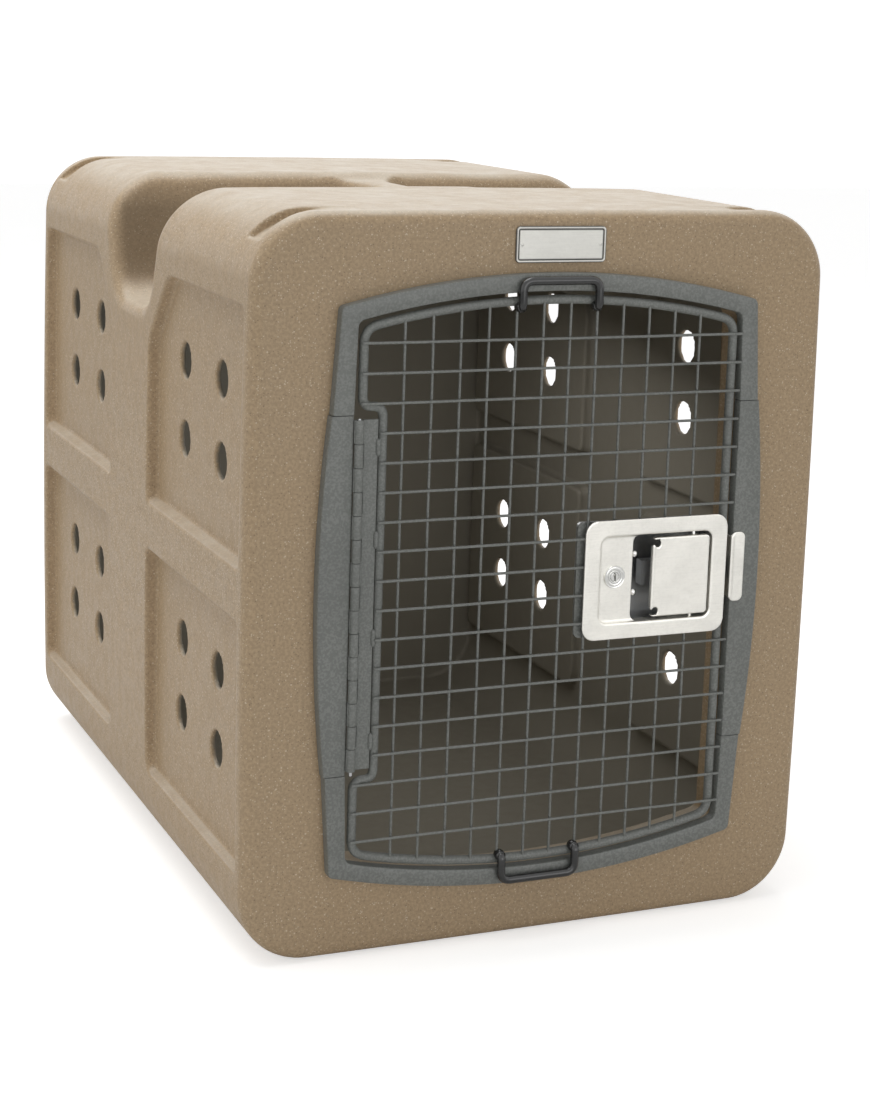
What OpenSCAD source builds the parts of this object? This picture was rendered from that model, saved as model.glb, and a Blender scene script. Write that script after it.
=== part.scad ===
// Pet transport carrier: one moulded body with a steel-framed wire door.
// Millimetres, +Z up, the door faces -Y, the carrier stands on z = 0.

/* [Body] */
// Overall width of the moulded body
body_w = 546; // [450:1:660]
// Overall height of the moulded body
body_h = 648; // [540:1:780]
// Length of the moulded body without the door hardware
body_l = 750; // [620:1:900]
// Radius of the four long corners, seen from the front
corner_r = 60; // [40:1:70]
// Bevel of the front and rear edges
edge_r = 8; // [4:0.5:12]
// Moulded wall thickness
wall_t = 5; // [3.5:0.5:6]

/* [Side panels and vents] */
// Depth of the recessed side panels
panel_depth = 12; // [6:1:14]
// Border between a panel and the end of the body
panel_end = 24; // [18:1:40]
// Half the width of the middle rib between the front and rear panels
rib_half = 72; // [60:1:80]
// Border between a panel and the top or bottom of the body
panel_edge = 82; // [75:1:110]
// Half the height of the rail between the upper and lower panels
rail_half = 26; // [18:1:34]
// Vent hole diameter
vent_d = 33; // [20:1:40]
// Distance between two vent columns
vent_dx = 110; // [80:1:120]
// Distance between two vent rows
vent_dz = 72; // [55:1:80]

/* [Top channel and handle] */
// Depth of the channel at the two sides of the body
channel_deep = 119; // [90:1:130]
// Depth of the channel floor in the middle
channel_mid = 84; // [70:1:90]
// Half the width of the channel at its floor
channel_half = 62; // [50:1:66]
// Half the width of the channel at the top
channel_top = 92; // [75:1:98]
// Width of the handle bridge
handle_w = 36; // [28:1:50]
// Thickness of the handle bridge
handle_t = 26; // [18:1:30]
// Width of the four tie-down strap slots
slot_w = 30; // [20:1:36]
// Depth of the four tie-down strap slots
slot_deep = 9; // [5:1:12]

/* [Door frame] */
// Distance from the side of the body to the frame
side_border = 76; // [70:1:100]
// Distance from the top of the body to the corners of the frame
top_border = 78; // [70:1:100]
// Rise of the arched top and bottom bars
arch_rise = 26; // [15:1:32]
// Face width of the arched bars
bar_face = 15.5; // [12:0.5:20]
// Depth of the frame bars
bar_deep = 10; // [8:0.5:12]
// Outward bow of the side posts
post_bow = 9; // [4:0.5:12]
// Depth of the moulded sleeve round the doorway
sleeve_deep = 30; // [24:1:40]

/* [Door] */
// Diameter of the door rim rod
rod_d = 8; // [6:0.5:9]
// Gap between the frame and the door rim rod
rim_gap = 5; // [4:0.5:8]
// Diameter of the mesh wires
wire_d = 2.5; // [2:0.1:3]
// Mesh pitch
pitch = 25.4; // [20:0.1:38]
// Diameter of the coated stop loops
loop_d = 8; // [6:0.5:9]
// Width of the stop loops
loop_w = 72; // [50:1:90]

/* [Hinge] */
// Length of the continuous hinge
hinge_len = 305; // [250:1:330]
// Number of hinge knuckles
knuckles = 15; // [9:2:19]
// Outside diameter of the knuckles
knuckle_d = 8; // [7:0.5:9]
// Diameter of the hinge pin
hinge_pin_d = 3.2; // [2.5:0.1:4]
// Radial running clearance of every pin
run_fit = 0.05; // [0.02:0.01:0.1]

/* [Latch] */
// Width of the latch plate
plate_w = 142; // [130:1:150]
// Height of the latch plate
plate_h = 108; // [100:1:120]
// Depth of the latch pan
pan_deep = 14; // [12:0.5:16]
// Sheet thickness of the latch pan
sheet_t = 2; // [1.5:0.1:2.5]
// Width of the paddle
paddle_w = 57; // [50:1:60]
// Height of the paddle
paddle_h = 72; // [60:1:74]
// Diameter of the lock face
lock_d = 21; // [18:0.5:24]

/* [Hidden] */
$fn = 48;
e = 0.01;
end_t = wall_t + 2;                    // thickness of the front and rear walls
cz = body_h / 2;                       // height of the middle of the door
proud = bar_deep + loop_d + 0.3;       // hardware in front of the body
fy = -(body_l + proud) / 2 + proud;    // y of the body's front face
ry = fy + body_l;                      // y of the body's rear face
my = fy + body_l / 2;                  // y of the channel middle
hw = body_w / 2;
fw = hw - side_border;                 // frame: half width at its corners
fh = cz - top_border;                  // frame: half height at its corners
fa = fh + arch_rise;                   // frame: half height at its apexes
arc_r = (fw * fw + arch_rise * arch_rise) / (2 * arch_rise);
arc_c = fa - arc_r;                    // height of the arch centre above the door middle
seam = fh - 90;                        // half height of the side posts
post_w = fw + 6.5;                     // frame: half width at the seams
bow_r = (seam * seam + post_bow * post_bow) / (2 * post_bow);
bow_c = post_w + post_bow - bow_r;
in_w = fw - 13.5;                      // doorway: half width between the posts
leg_in = fw - bar_face - 0.5;          // doorway: half width at the corners
in_r = arc_r - bar_face;
door_y = fy - bar_deep / 2;            // y of the door rim rod
rod_r = rod_d / 2;
rod_x = in_w - rim_gap - rod_r + 0.5;  // half width of the door rim
rim_r = in_r - rim_gap - rod_r + 1.5;  // radius of the arched rim rods
rim_corner = 16;                       // bend radius of the rim corners
wire_r = wire_d / 2;
hor_y = door_y - rod_r - wire_r;       // y of the horizontal wires
ver_y = hor_y + wire_d;                // y of the vertical wires
ncol = floor((rod_x - 12) / pitch);    // half the number of vertical wires
nrow = floor((fh - 15) / pitch);       // half the number of horizontal wires
kr = knuckle_d / 2;
hx = -in_w + kr + 0.4;                 // hinge axis
hy = fy - bar_deep;
hl = min(hinge_len, 2 * seam - 8);     // hinge length
kp = hl / knuckles;                    // knuckle pitch
leaf_t = 1.6;
jog_x = hx + kr + 14.6 + rod_r;        // x of the rim rod beside the hinge
jog_r = (rod_x + jog_x) / 2;           // bend radius of the step
jog_h = hl / 2 + 1;                    // half height of the rim rod's step
plate_x = rod_x + 1 - plate_w / 2;     // latch centre
plate_y = hor_y - wire_r;              // y of the back of the latch plate
face_y = plate_y - sheet_t;            // y of the front of the latch plate
pan_w = 114;
pan_h = 82;
pan_y = face_y + pan_deep;             // y of the back of the latch pan
case_w = 126;
case_h = 92;
case_d = 22;
pivot_x = plate_x + 39;                // paddle pivot
pivot_y = face_y + 5.5;
kick = 16;                             // reach of the paddle's finger
bolt_y = pivot_y + kick - 3.5;         // y of the front of the bolt
bolt_t = 10;
bolt_h = 22;
lock_x = plate_x - 40;
lock_z = cz + 2.5;
strike_x = in_w - 2;
nut_r = 3.9;
stud_in = bar_face - 5.2;              // stud distance from the doorway edge

moulding = [0.60, 0.53, 0.44];
coat = [0.36, 0.39, 0.38];
steel = [0.80, 0.79, 0.75];
vinyl = [0.05, 0.05, 0.05];
zinc = [0.62, 0.63, 0.64];

// ---------- shared shapes ----------

// Draws a shape given as (x, z) in front view, as a slab from y0 to y1.
module slab(y0, y1) {
  translate([0, y1, 0]) rotate([90, 0, 0]) linear_extrude(height = y1 - y0) children();
}
// Draws a shape given as (y, z) in side view, as a slab from x0 to x1.
module side_slab(x0, x1) {
  translate([x0, 0, 0]) rotate([90, 0, 90]) linear_extrude(height = x1 - x0) children();
}
// Rounded rectangle about the origin.
module rrect(w, h, r) {
  square([w - 2 * r, h], center = true);
  square([w, h - 2 * r], center = true);
  for (i = [-1, 1], j = [-1, 1]) translate([i * (w / 2 - r), j * (h / 2 - r)]) circle(r = r);
}
// A rod of radius r between two points in front view.
module rod(x0, z0, x1, z1, y, r) {
  l = sqrt((x1 - x0) * (x1 - x0) + (z1 - z0) * (z1 - z0));
  translate([x0, y, z0]) rotate([0, atan2(x1 - x0, z1 - z0), 0]) cylinder(r = r, h = l);
}
// A bent rod in front view: centre, bend radius, first angle, sweep.
module bend(x, z, y, br, r, a0, sweep) {
  translate([x, y, z]) rotate([90, 0, 0]) rotate([0, 0, a0])
    rotate_extrude(angle = sweep, $fn = 48) translate([br, 0]) circle(r = r, $fn = 20);
}
// ---------- body ----------

// A block with rounded long corners and bevelled front and rear edges.
module bevelled(w, h, b) polygon([[-w / 2 + b, -h / 2], [w / 2 - b, -h / 2], [w / 2, -h / 2 + b], [w / 2, h / 2 - b],
  [w / 2 - b, h / 2], [-w / 2 + b, h / 2], [-w / 2, h / 2 - b], [-w / 2, -h / 2 + b]]);
module rounded_block(w, h, y0, y1, r, er) intersection() {
  slab(y0, y1) rrect(w, h, r);
  side_slab(-w / 2 - 1, w / 2 + 1) translate([(y0 + y1) / 2, 0]) bevelled(y1 - y0, h, er);
  translate([0, (y0 + y1) / 2, -h / 2 - 1]) linear_extrude(height = h + 2) bevelled(w, y1 - y0, er);
}
// Side panel outlines (y, z), grown by g. up is 1 for the upper row; side -1 is the front pair.
module panel_2d(up, side, g) {
  y_end = side * (body_l / 2 - panel_end + g);
  y_in = side * (rib_half - g);
  z0 = up * (rail_half - g);
  z1 = up * (cz - panel_edge + g);
  chan = up > 0 ? 58 : 0.5;
  polygon([[my + y_in, z0], [my + y_end, z0], [my + y_end, z1],
    [my + y_in + side * chan, z1], [my + y_in, z1 - up * chan * 1.1]]);
}
// Cross-section of the top channel (y, z), grown by g, down to a given depth.
module channel_2d(depth, g) {
  h1 = channel_half + g;
  h2 = channel_top + g;
  polygon([[my - h1, cz - depth - g], [my + h1, cz - depth - g], [my + h2, cz + 1], [my - h2, cz + 1]]);
}
// The open channel with its deeper ends.
module channel(g) {
  side_slab(-hw - 1, hw + 1) channel_2d(channel_mid, g);
  for (i = [-1, 1]) side_slab(i > 0 ? hw - 78 - g : -hw - 1, i > 0 ? hw + 1 : -hw + 78 + g)
    channel_2d(channel_deep, g);
}
// Strap slot across one upper corner, depth d; i is the side.
module strap_slot(i, y, d) {
  slab(y - slot_w / 2 - (d - slot_deep), y + slot_w / 2 + (d - slot_deep)) scale([i, 1]) {
    translate([hw - corner_r, cz - corner_r]) intersection() {
      difference() { circle(r = corner_r + 3); circle(r = corner_r - d); }
      polygon([[0, 0], [0, 90], [90, 90], [64 + d, 60 - d]]);
    }
    polygon([[hw - corner_r + e, cz - d], [hw - corner_r + e, cz + 3],
      [hw - corner_r - 42 - d, cz + 3], [hw - corner_r - 42 - d, cz]]);
  }
}
// The doorway outline in front view, grown by g.
module doorway_2d(g) {
  intersection() {
    translate([0, arc_c]) circle(r = in_r + g, $fn = 900);
    translate([0, -arc_c]) circle(r = in_r + g, $fn = 900);
    polygon([[in_w + g, seam], [leg_in + g, fa], [-leg_in - g, fa], [-in_w - g, seam],
      [-in_w - g, -seam], [-leg_in - g, -fa], [leg_in + g, -fa], [in_w + g, -seam]]);
  }
}
module studs_at() {
  for (i = [-1, 1], j = [-1, 0, 1]) translate([i * (in_w + stud_in), j * seam * 0.75]) children();
  for (j = [-1, 1], a = [-7, 7]) translate([0, j * arc_c]) rotate(j > 0 ? a : 180 + a)
    translate([0, in_r + stud_in]) children();
}
module vents() {
  for (i = [0, 1]) mirror([i, 0, 0]) for (z = [1, -1], s = [-1, 1], a = [-1, 1], b = [-1, 1])
    translate([0, my + s * (rib_half + (body_l / 2 - panel_end - rib_half) / 2 - 2) + a * vent_dx / 2,
      (z > 0 ? 134 : -126) * body_h / 648 + b * vent_dz / 2])
      rotate([0, 90, 0]) cylinder(d = vent_d, h = hw + 20);
}
// Everything that shapes the inside: the cabin.
module cabin() {
  difference() {
    slab(fy + end_t, ry - end_t) rrect(body_w - 2 * wall_t, body_h - 2 * wall_t, corner_r - wall_t);
    for (i = [-1, 1], up = [1, -1], s = [-1, 1])
      side_slab(i > 0 ? hw - panel_depth - wall_t : -hw - 1, i > 0 ? hw + 1 : -hw + panel_depth + wall_t)
        panel_2d(up, s, wall_t);
    channel(wall_t);
    for (i = [-1, 1], y = [fy + 37, ry - 37]) strap_slot(i, y, slot_deep + wall_t);
    slab(fy, fy + sleeve_deep) difference() { doorway_2d(4); doorway_2d(-40); }
  }
}
module body_shell() color(moulding) translate([0, 0, cz]) difference() {
  union() {
    difference() {
      rounded_block(body_w, body_h, fy, ry, corner_r, edge_r);
      for (i = [-1, 1], up = [1, -1], s = [-1, 1])
        side_slab(i > 0 ? hw - panel_depth : -hw - 1, i > 0 ? hw + 1 : -hw + panel_depth) panel_2d(up, s, 0);
      channel(0);
      for (i = [-1, 1], y = [fy + 37, ry - 37]) strap_slot(i, y, slot_deep);
      cabin();
    }
    // handle bridge along the middle of the channel
    side_slab(-handle_w / 2, handle_w / 2) polygon([[my - channel_top - 3, cz - 6], [my + channel_top + 3, cz - 6],
      [my + channel_top - 3, cz - 6 - handle_t], [my - channel_top + 3, cz - 6 - handle_t]]);
  }
  slab(fy - 1, fy + sleeve_deep + 1) doorway_2d(0);
  vents();
  slab(fy - 1, fy + end_t + 1) studs_at() circle(d = 4.4, $fn = 24);
  // pocket in the sleeve for the latch bolt
  translate([in_w - 1, bolt_y - 1.5, -bolt_h / 2 - 2]) cube([9, bolt_t + 3, bolt_h + 4]);
}
module nameplate() color(steel) translate([4, 0, cz + fa + 23.5]) {
  slab(fy - 1.5, fy) rrect(85, 31, 4);
  for (i = [-1, 1]) translate([i * 37, fy - 1.5, 0]) rotate([90, 0, 0]) cylinder(d = 3, h = 0.6, $fn = 20);
}

// ---------- door frame ----------

module frame_outline_2d() intersection() {
  translate([0, arc_c]) circle(r = arc_r, $fn = 900);
  translate([0, -arc_c]) circle(r = arc_r, $fn = 900);
  union() {
    for (i = [-1, 1], j = [-1, 1]) scale([i, j]) polygon([[0, 0], [post_w - 1, 0], [post_w - 1, seam],
      [fw, fh - 4], [fw - 4.5, fh + 2.2], [fw - 45, fa + 8], [0, fa + 8]]);
    intersection() {
      translate([bow_c, 0]) circle(r = bow_r, $fn = 900);
      translate([-bow_c, 0]) circle(r = bow_r, $fn = 900);
      square([2 * fw + 80, 2 * seam], center = true);
    }
  }
}
module bars(z0, z1, x0, x1) {
  slab(fy - bar_deep, fy) intersection() {
    difference() { frame_outline_2d(); doorway_2d(0); }
    translate([x0, z0]) square([x1 - x0, z1 - z0]);
  }
}
module studs(z0, z1, x0, x1) {
  slab(fy - 4, fy + end_t + 5) intersection() {
    studs_at() circle(d = 4, $fn = 24);
    translate([x0, z0]) square([x1 - x0, z1 - z0]);
  }
}
module frame_top_arch() color(coat) translate([0, 0, cz]) {
  bars(seam, fa + 9, -fw - 30, fw + 30);
  studs(seam, fa + 9, -fw - 30, fw + 30);
}
module frame_bottom_arch() color(coat) translate([0, 0, cz]) {
  bars(-fa - 9, -seam, -fw - 30, fw + 30);
  studs(-fa - 9, -seam, -fw - 30, fw + 30);
}
module frame_left_post() color(coat) translate([0, 0, cz]) {
  bars(-seam, seam, -fw - 30, 0);
  studs(-seam, seam, -fw - 30, 0);
}
module frame_right_post() color(coat) translate([0, 0, cz]) {
  bars(-seam, seam, 0, fw + 30);
  studs(-seam, seam, 0, fw + 30);
}
module frame_nuts() color(zinc) translate([0, 0, cz])
  slab(fy + end_t, fy + end_t + 3.2) studs_at() difference() {
    circle(r = nut_r, $fn = 6);
    circle(d = 4.08, $fn = 24);
  }
// Folded keeper: a tab on the frame's face and a slotted flange in the doorway.
module strike_plate() color(steel) translate([0, 0, cz]) difference() {
  union() {
    slab(fy - bar_deep - 2, fy - bar_deep) translate([strike_x + 7, 4]) rrect(14, 64, 5);
    translate([strike_x, fy - bar_deep - 2, -28]) cube([2, bolt_y + bolt_t + 6 - fy + bar_deep + 2, 64]);
  }
  translate([strike_x - 1, bolt_y - 0.8, -bolt_h / 2 - 0.8]) cube([4, bolt_t + 1.6, bolt_h + 1.6]);
}

// ---------- hinge ----------

// Knuckles whose index has the given parity.
module knuckle_set(parity) {
  for (k = [0 : knuckles - 1]) if (k % 2 == parity)
    translate([hx, hy, -hl / 2 + k * kp + 0.15]) cylinder(r = kr, h = kp - 0.3, $fn = 32);
}
module knuckle_gaps(parity) {
  for (k = [0 : knuckles - 1]) if (k % 2 != parity)
    translate([hx - kr - 0.15, hy - kr - 0.5, -hl / 2 + k * kp - 0.15]) cube([2 * kr + 0.3, 2 * kr + 0.65, kp + 0.3]);
}
module hinge_bore() translate([hx, hy, -hl / 2 - 1])
  cylinder(r = hinge_pin_d / 2 + run_fit, h = hl + 2, $fn = 32);
module hinge_frame_leaf() color(coat) translate([0, 0, cz]) difference() {
  union() {
    knuckle_set(0);
    translate([-in_w, hy + 0.5, -hl / 2 + 0.15]) cube([leaf_t, bar_deep + 8, hl - 0.3]);
  }
  knuckle_gaps(0);
  hinge_bore();
}
module hinge_door_leaf() color(coat) translate([0, 0, cz]) difference() {
  union() {
    knuckle_set(1);
    translate([hx, hy + kr - leaf_t, -hl / 2 + 0.15]) cube([kr + 14, leaf_t, hl - 0.3]);
    // weld beads that hold the leaf to the rim rod
    for (z = [-0.42, -0.12, 0.16, 0.42]) translate([hx + kr + 14, hy + kr - leaf_t / 2, z * hl]) {
      cylinder(d = 4.4, h = 10, center = true, $fn = 16);
      for (j = [-5, 5]) translate([0, 0, j]) sphere(d = 4.4, $fn = 16);
    }
  }
  knuckle_gaps(1);
  hinge_bore();
  translate([jog_x, door_y, 0]) cylinder(r = rod_r + 0.04, h = hl + 9, center = true);
}
module hinge_pin() color(zinc) translate([hx, hy, cz - hl / 2 - 3]) {
  cylinder(d = hinge_pin_d, h = hl + 4, $fn = 32);
}

// ---------- door ----------

// Rim corner centres and the angle where the arched rod starts.
rc_x = rod_x - rim_corner;
rc_a = asin(rc_x / (rim_r - rim_corner));
rc_z = arc_c + (rim_r - rim_corner) * cos(rc_a);
module door_rim() color(coat) translate([0, 0, cz]) {
  o = 0.6;                             // overlap of straight and bent lengths
  r = rod_r;
  b = rod_r - 0.1;
  oa = o / rim_r * 180 / PI;
  for (j = [0, 1]) mirror([0, 0, j]) {
    translate([0, door_y, arc_c]) rotate([90, 0, 0]) rotate([0, 0, 90 - rc_a - oa])
      rotate_extrude(angle = 2 * rc_a + 2 * oa, $fn = 900) translate([rim_r, 0]) circle(r = r, $fn = 20);
    bend(rc_x, rc_z, door_y, rim_corner, b, 0, 90 - rc_a);
    bend(-rc_x, rc_z, door_y, rim_corner, b, 90 + rc_a, 90 - rc_a);
    // step that clears the hinge
    rod(-rod_x, rc_z + o, -rod_x, jog_h + 2 * jog_r - o, door_y, r);
    bend(-rod_x + jog_r, jog_h + 2 * jog_r, door_y, jog_r, b, 180, 90);
    rod(-rod_x + jog_r - o, jog_h + jog_r, jog_x - jog_r + o, jog_h + jog_r, door_y, r);
    bend(jog_x - jog_r, jog_h, door_y, jog_r, b, 0, 90);
  }
  rod(rod_x, -rc_z - o, rod_x, rc_z + o, door_y, r);
  rod(jog_x, -jog_h - o, jog_x, jog_h + o, door_y, r);
}
// Height of the inside of the arched rim at x.
function rim_top(x) = arc_c + sqrt((rim_r - rod_r - 0.1) * (rim_r - rod_r - 0.1) - x * x);
lat_l = plate_x - pan_w / 2 - 4;       // left side of the gap in the mesh
lat_h = pan_h / 2 + 4;                 // half its height
module mesh_vertical_wires() color(coat) translate([0, ver_y, cz])
  for (i = [-ncol : ncol - 1]) {
    x = (i + 0.5) * pitch;
    t = rim_top(x);
    if (x < lat_l) translate([x, 0, -t]) cylinder(r = wire_r, h = 2 * t, $fn = 16);
    else for (j = [0, 1]) mirror([0, 0, j]) translate([x, 0, lat_h]) cylinder(r = wire_r, h = t - lat_h, $fn = 16);
  }
module mesh_horizontal_wires() color(coat) translate([0, hor_y, cz])
  for (j = [-nrow : nrow - 1]) {
    z = (j + 0.5) * pitch;
    x0 = abs(z) < jog_h + 2 ? jog_x - 3 : -rod_x - 2;
    x1 = abs(z) < lat_h ? lat_l : rod_x + 6.5;
    translate([x0, 0, z]) rotate([0, 90, 0]) cylinder(r = wire_r, h = x1 - x0, $fn = 16);
  }
// A coated rod bent in a U: welded to the rim, resting on the frame's face.
module stop_loop() {
  lr = loop_d / 2;
  y = fy - bar_deep - lr - 0.3;
  zo = fa - 6;
  zi = arc_c + rim_r - 4;
  w = loop_w / 2;
  rod(-w + 9, zo, w - 9, zo, y, lr);
  for (i = [-1, 1]) {
    bend(i * (w - 9), zo - 9, y, 9, lr, i > 0 ? 0 : 90, 90);
    rod(i * w, zi, i * w, zo - 9, y, lr);
    translate([i * w, y, zi]) sphere(r = lr);
    translate([i * w, y, zi]) rotate([-90, 0, 0]) cylinder(r = lr, h = door_y - y - 1.6);
  }
}
module stop_loop_cut() difference() {
  stop_loop();
  translate([0, door_y, arc_c]) rotate([90, 0, 0]) rotate([0, 0, 80])
    rotate_extrude(angle = 20, $fn = 900) translate([rim_r, 0]) circle(r = rod_r + 0.04, $fn = 20);
  for (x = [-pitch * 1.5, pitch * 1.5]) translate([x, ver_y, 0]) cylinder(r = wire_r + 0.1, h = fa, $fn = 16);
}
module top_stop_loop() color(vinyl) translate([0, 0, cz]) stop_loop_cut();
module bottom_stop_loop() color(vinyl) translate([0, 0, cz]) mirror([0, 0, 1]) stop_loop_cut();

// ---------- latch ----------

module latch_back_plate() color(coat) translate([plate_x, 0, cz])
  slab(ver_y + wire_r, ver_y + wire_r + 2) difference() {
    union() {
      translate([-plate_w / 2 - 3, -38]) square([40, 76]);
      translate([-10 + 1.5, 0]) rrect(120 + 15, 104, 6);
    }
    square([pan_w + 0.4, pan_h + 0.4], center = true);
  }
// Pressed pan: a flat rim, a shallow ledge for the lock and a deep recess for the paddle.
module latch_pan() color(steel) translate([plate_x, 0, cz]) difference() {
  union() {
    slab(face_y, plate_y) rrect(plate_w, plate_h, 12);
    slab(face_y + 0.2, pan_y) rrect(pan_w, pan_h, 9);
  }
  // lock ledge
  slab(face_y - 1, face_y + 3.5) rrect(pan_w - 2 * sheet_t, pan_h - 2 * sheet_t, 7);
  // deep recess
  slab(face_y + 3, pan_y - sheet_t) translate([17, 0]) rrect(pan_w - 2 * sheet_t - 34, pan_h - 2 * sheet_t, 5);
  // underside of the ledge
  slab(face_y + 5.5, pan_y + 1) translate([-39, 0]) rrect(30, pan_h - 2 * sheet_t, 4);
  // lock hole
  translate([lock_x - plate_x, face_y, lock_z - cz]) rotate([-90, 0, 0]) cylinder(d = lock_d - 3.9, h = 20);
  // slot for the paddle's finger
  translate([pivot_x - plate_x - 16, pan_y - sheet_t - 1, -9]) cube([22, sheet_t + 2, 18]);
  // rivet holes
  for (j = [-1, 1]) translate([-15.5, pan_y - sheet_t - 1, 2 + j * 17.5]) rotate([-90, 0, 0])
    cylinder(d = 3.1, h = sheet_t + 2, $fn = 24);
  // paddle pin holes
  translate([pivot_x - plate_x, pivot_y, 0]) cylinder(d = 3.1, h = pan_h - 2, center = true, $fn = 32);
}
module latch_rivets() color(steel) translate([plate_x - 15.5, 0, cz + 2]) for (j = [-1, 1]) translate([0, 0, j * 17.5]) {
  translate([0, pan_y - sheet_t - 1.4, 0]) rotate([-90, 0, 0]) cylinder(d = 6, h = 1.4, $fn = 24);
  translate([0, pan_y - sheet_t - e, 0]) rotate([-90, 0, 0]) cylinder(d = 3, h = sheet_t + 0.02, $fn = 24);
  translate([0, pan_y, 0]) rotate([-90, 0, 0]) cylinder(d = 5, h = 1, $fn = 24);
}
// Open box behind the pan that guides the bolt.
module latch_case() color(zinc) translate([plate_x, 0, cz]) difference() {
  union() {
    slab(ver_y + wire_r + 2, ver_y + wire_r + 3.5) translate([-1.5, 0]) rrect(case_w + 4, case_h + 4, 4);
    slab(ver_y + wire_r + 2, pan_y + case_d) rrect(case_w, case_h, 4);
  }
  slab(ver_y, pan_y + 0.1) rrect(pan_w + 0.4, pan_h + 0.4, 9.2);
  slab(ver_y, pan_y + case_d - 1.5) rrect(case_w - 3, case_h - 3, 3);
  // guide slot for the bolt
  translate([case_w / 2 - 3, bolt_y - 0.3, -bolt_h / 2 - 0.3]) cube([8, bolt_t + 0.6, bolt_h + 0.6]);
}
module lock_barrel() color(steel) translate([lock_x, face_y + 3.5, lock_z]) rotate([-90, 0, 0]) difference() {
  union() {
    translate([0, 0, -1.8]) cylinder(d = lock_d, h = 1.8);
    cylinder(d = lock_d - 4, h = 18);
  }
  translate([0, 0, -2]) cylinder(r = 6 + run_fit, h = 24);
}
module lock_plug() color(steel) translate([lock_x, face_y + 3.5, lock_z]) rotate([-90, 0, 0]) difference() {
  union() {
    translate([0, 0, -1.6]) cylinder(r = 6, h = 20);
    translate([0, 0, 18.4]) intersection() { cylinder(r = 4.5, h = 2.2); cube([6.4, 20, 9], center = true); }
  }
  translate([-0.7, -4, -3]) cube([1.4, 8, 9]);
}
module lock_cam() color(zinc) translate([lock_x, face_y + 3.5 + 18.4, lock_z]) rotate([-90, 0, 0]) difference() {
  union() {
    cylinder(r = 7, h = 2);
    translate([-4, 0, 0]) cube([8, 14, 2]);
    translate([0, 14, 0]) cylinder(r = 4, h = 2);
  }
  translate([0, 0, -1]) intersection() { cylinder(r = 4.55, h = 4); cube([6.5, 20, 9], center = true); }
}
// Cap-shaped paddle on a vertical pin, with a finger that draws the bolt back.
module latch_paddle() color(steel) translate([pivot_x, 0, cz]) {
  difference() {
    union() {
      slab(face_y - 0.4, face_y + 1.4) translate([14 - paddle_w / 2, 0]) rrect(paddle_w, paddle_h, 5);
      for (j = [-1, 1]) translate([14 - paddle_w, face_y, j > 0 ? paddle_h / 2 - 1.6 : -paddle_h / 2])
        translate([5, 0, 0]) cube([paddle_w - 10, 5.4, 1.6]);
      for (j = [-1, 1]) translate([0, pivot_y, j > 0 ? paddle_h / 2 - 1.6 : -paddle_h / 2]) cylinder(r = 4, h = 1.6, $fn = 32);
      translate([-2, face_y + 1, -6]) cube([4, pivot_y + kick - face_y - 1, 12]);
    }
    translate([0, pivot_y, 0]) cylinder(r = 1.5 + run_fit, h = paddle_h + 2, center = true, $fn = 32);
    // notches at the pull edge
    for (j = [-1, 1]) translate([14 - paddle_w - 1, face_y - 1, j > 0 ? paddle_h / 2 - 5 : -paddle_h / 2 - 1]) cube([6, 3.5, 6]);
  }
}
module paddle_pin() color(zinc) translate([pivot_x, pivot_y, cz])
  cylinder(r = 1.5, h = pan_h - 2.2, center = true, $fn = 32);
module latch_bolt() color(zinc) translate([0, 0, cz]) difference() {
  translate([pivot_x - 44, bolt_y, -bolt_h / 2]) cube([in_w - 3.7 - pivot_x + 44, bolt_t, bolt_h]);
  // slanted nose
  translate([in_w - 11.7, bolt_y + bolt_t, -bolt_h]) rotate([0, 0, -40]) translate([-4, 0, 0])
    cube([30, 20, 2 * bolt_h]);
  // pocket the paddle's finger works in
  translate([pivot_x - 3, bolt_y - 1, -6.6]) cube([6.2, 5, 13.2]);
}

body_shell();
nameplate();
frame_top_arch();
frame_bottom_arch();
frame_left_post();
frame_right_post();
frame_nuts();
strike_plate();
hinge_frame_leaf();
hinge_door_leaf();
hinge_pin();
door_rim();
mesh_vertical_wires();
mesh_horizontal_wires();
top_stop_loop();
bottom_stop_loop();
latch_back_plate();
latch_pan();
latch_case();
latch_rivets();
lock_barrel();
lock_plug();
lock_cam();
latch_paddle();
paddle_pin();
latch_bolt();
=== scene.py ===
import math
from itertools import product

import bpy
import numpy as np
from bpy.props import FloatProperty, FloatVectorProperty, PointerProperty
from bpy.types import Operator, Panel, PropertyGroup
from mathutils import Matrix, Vector


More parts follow.
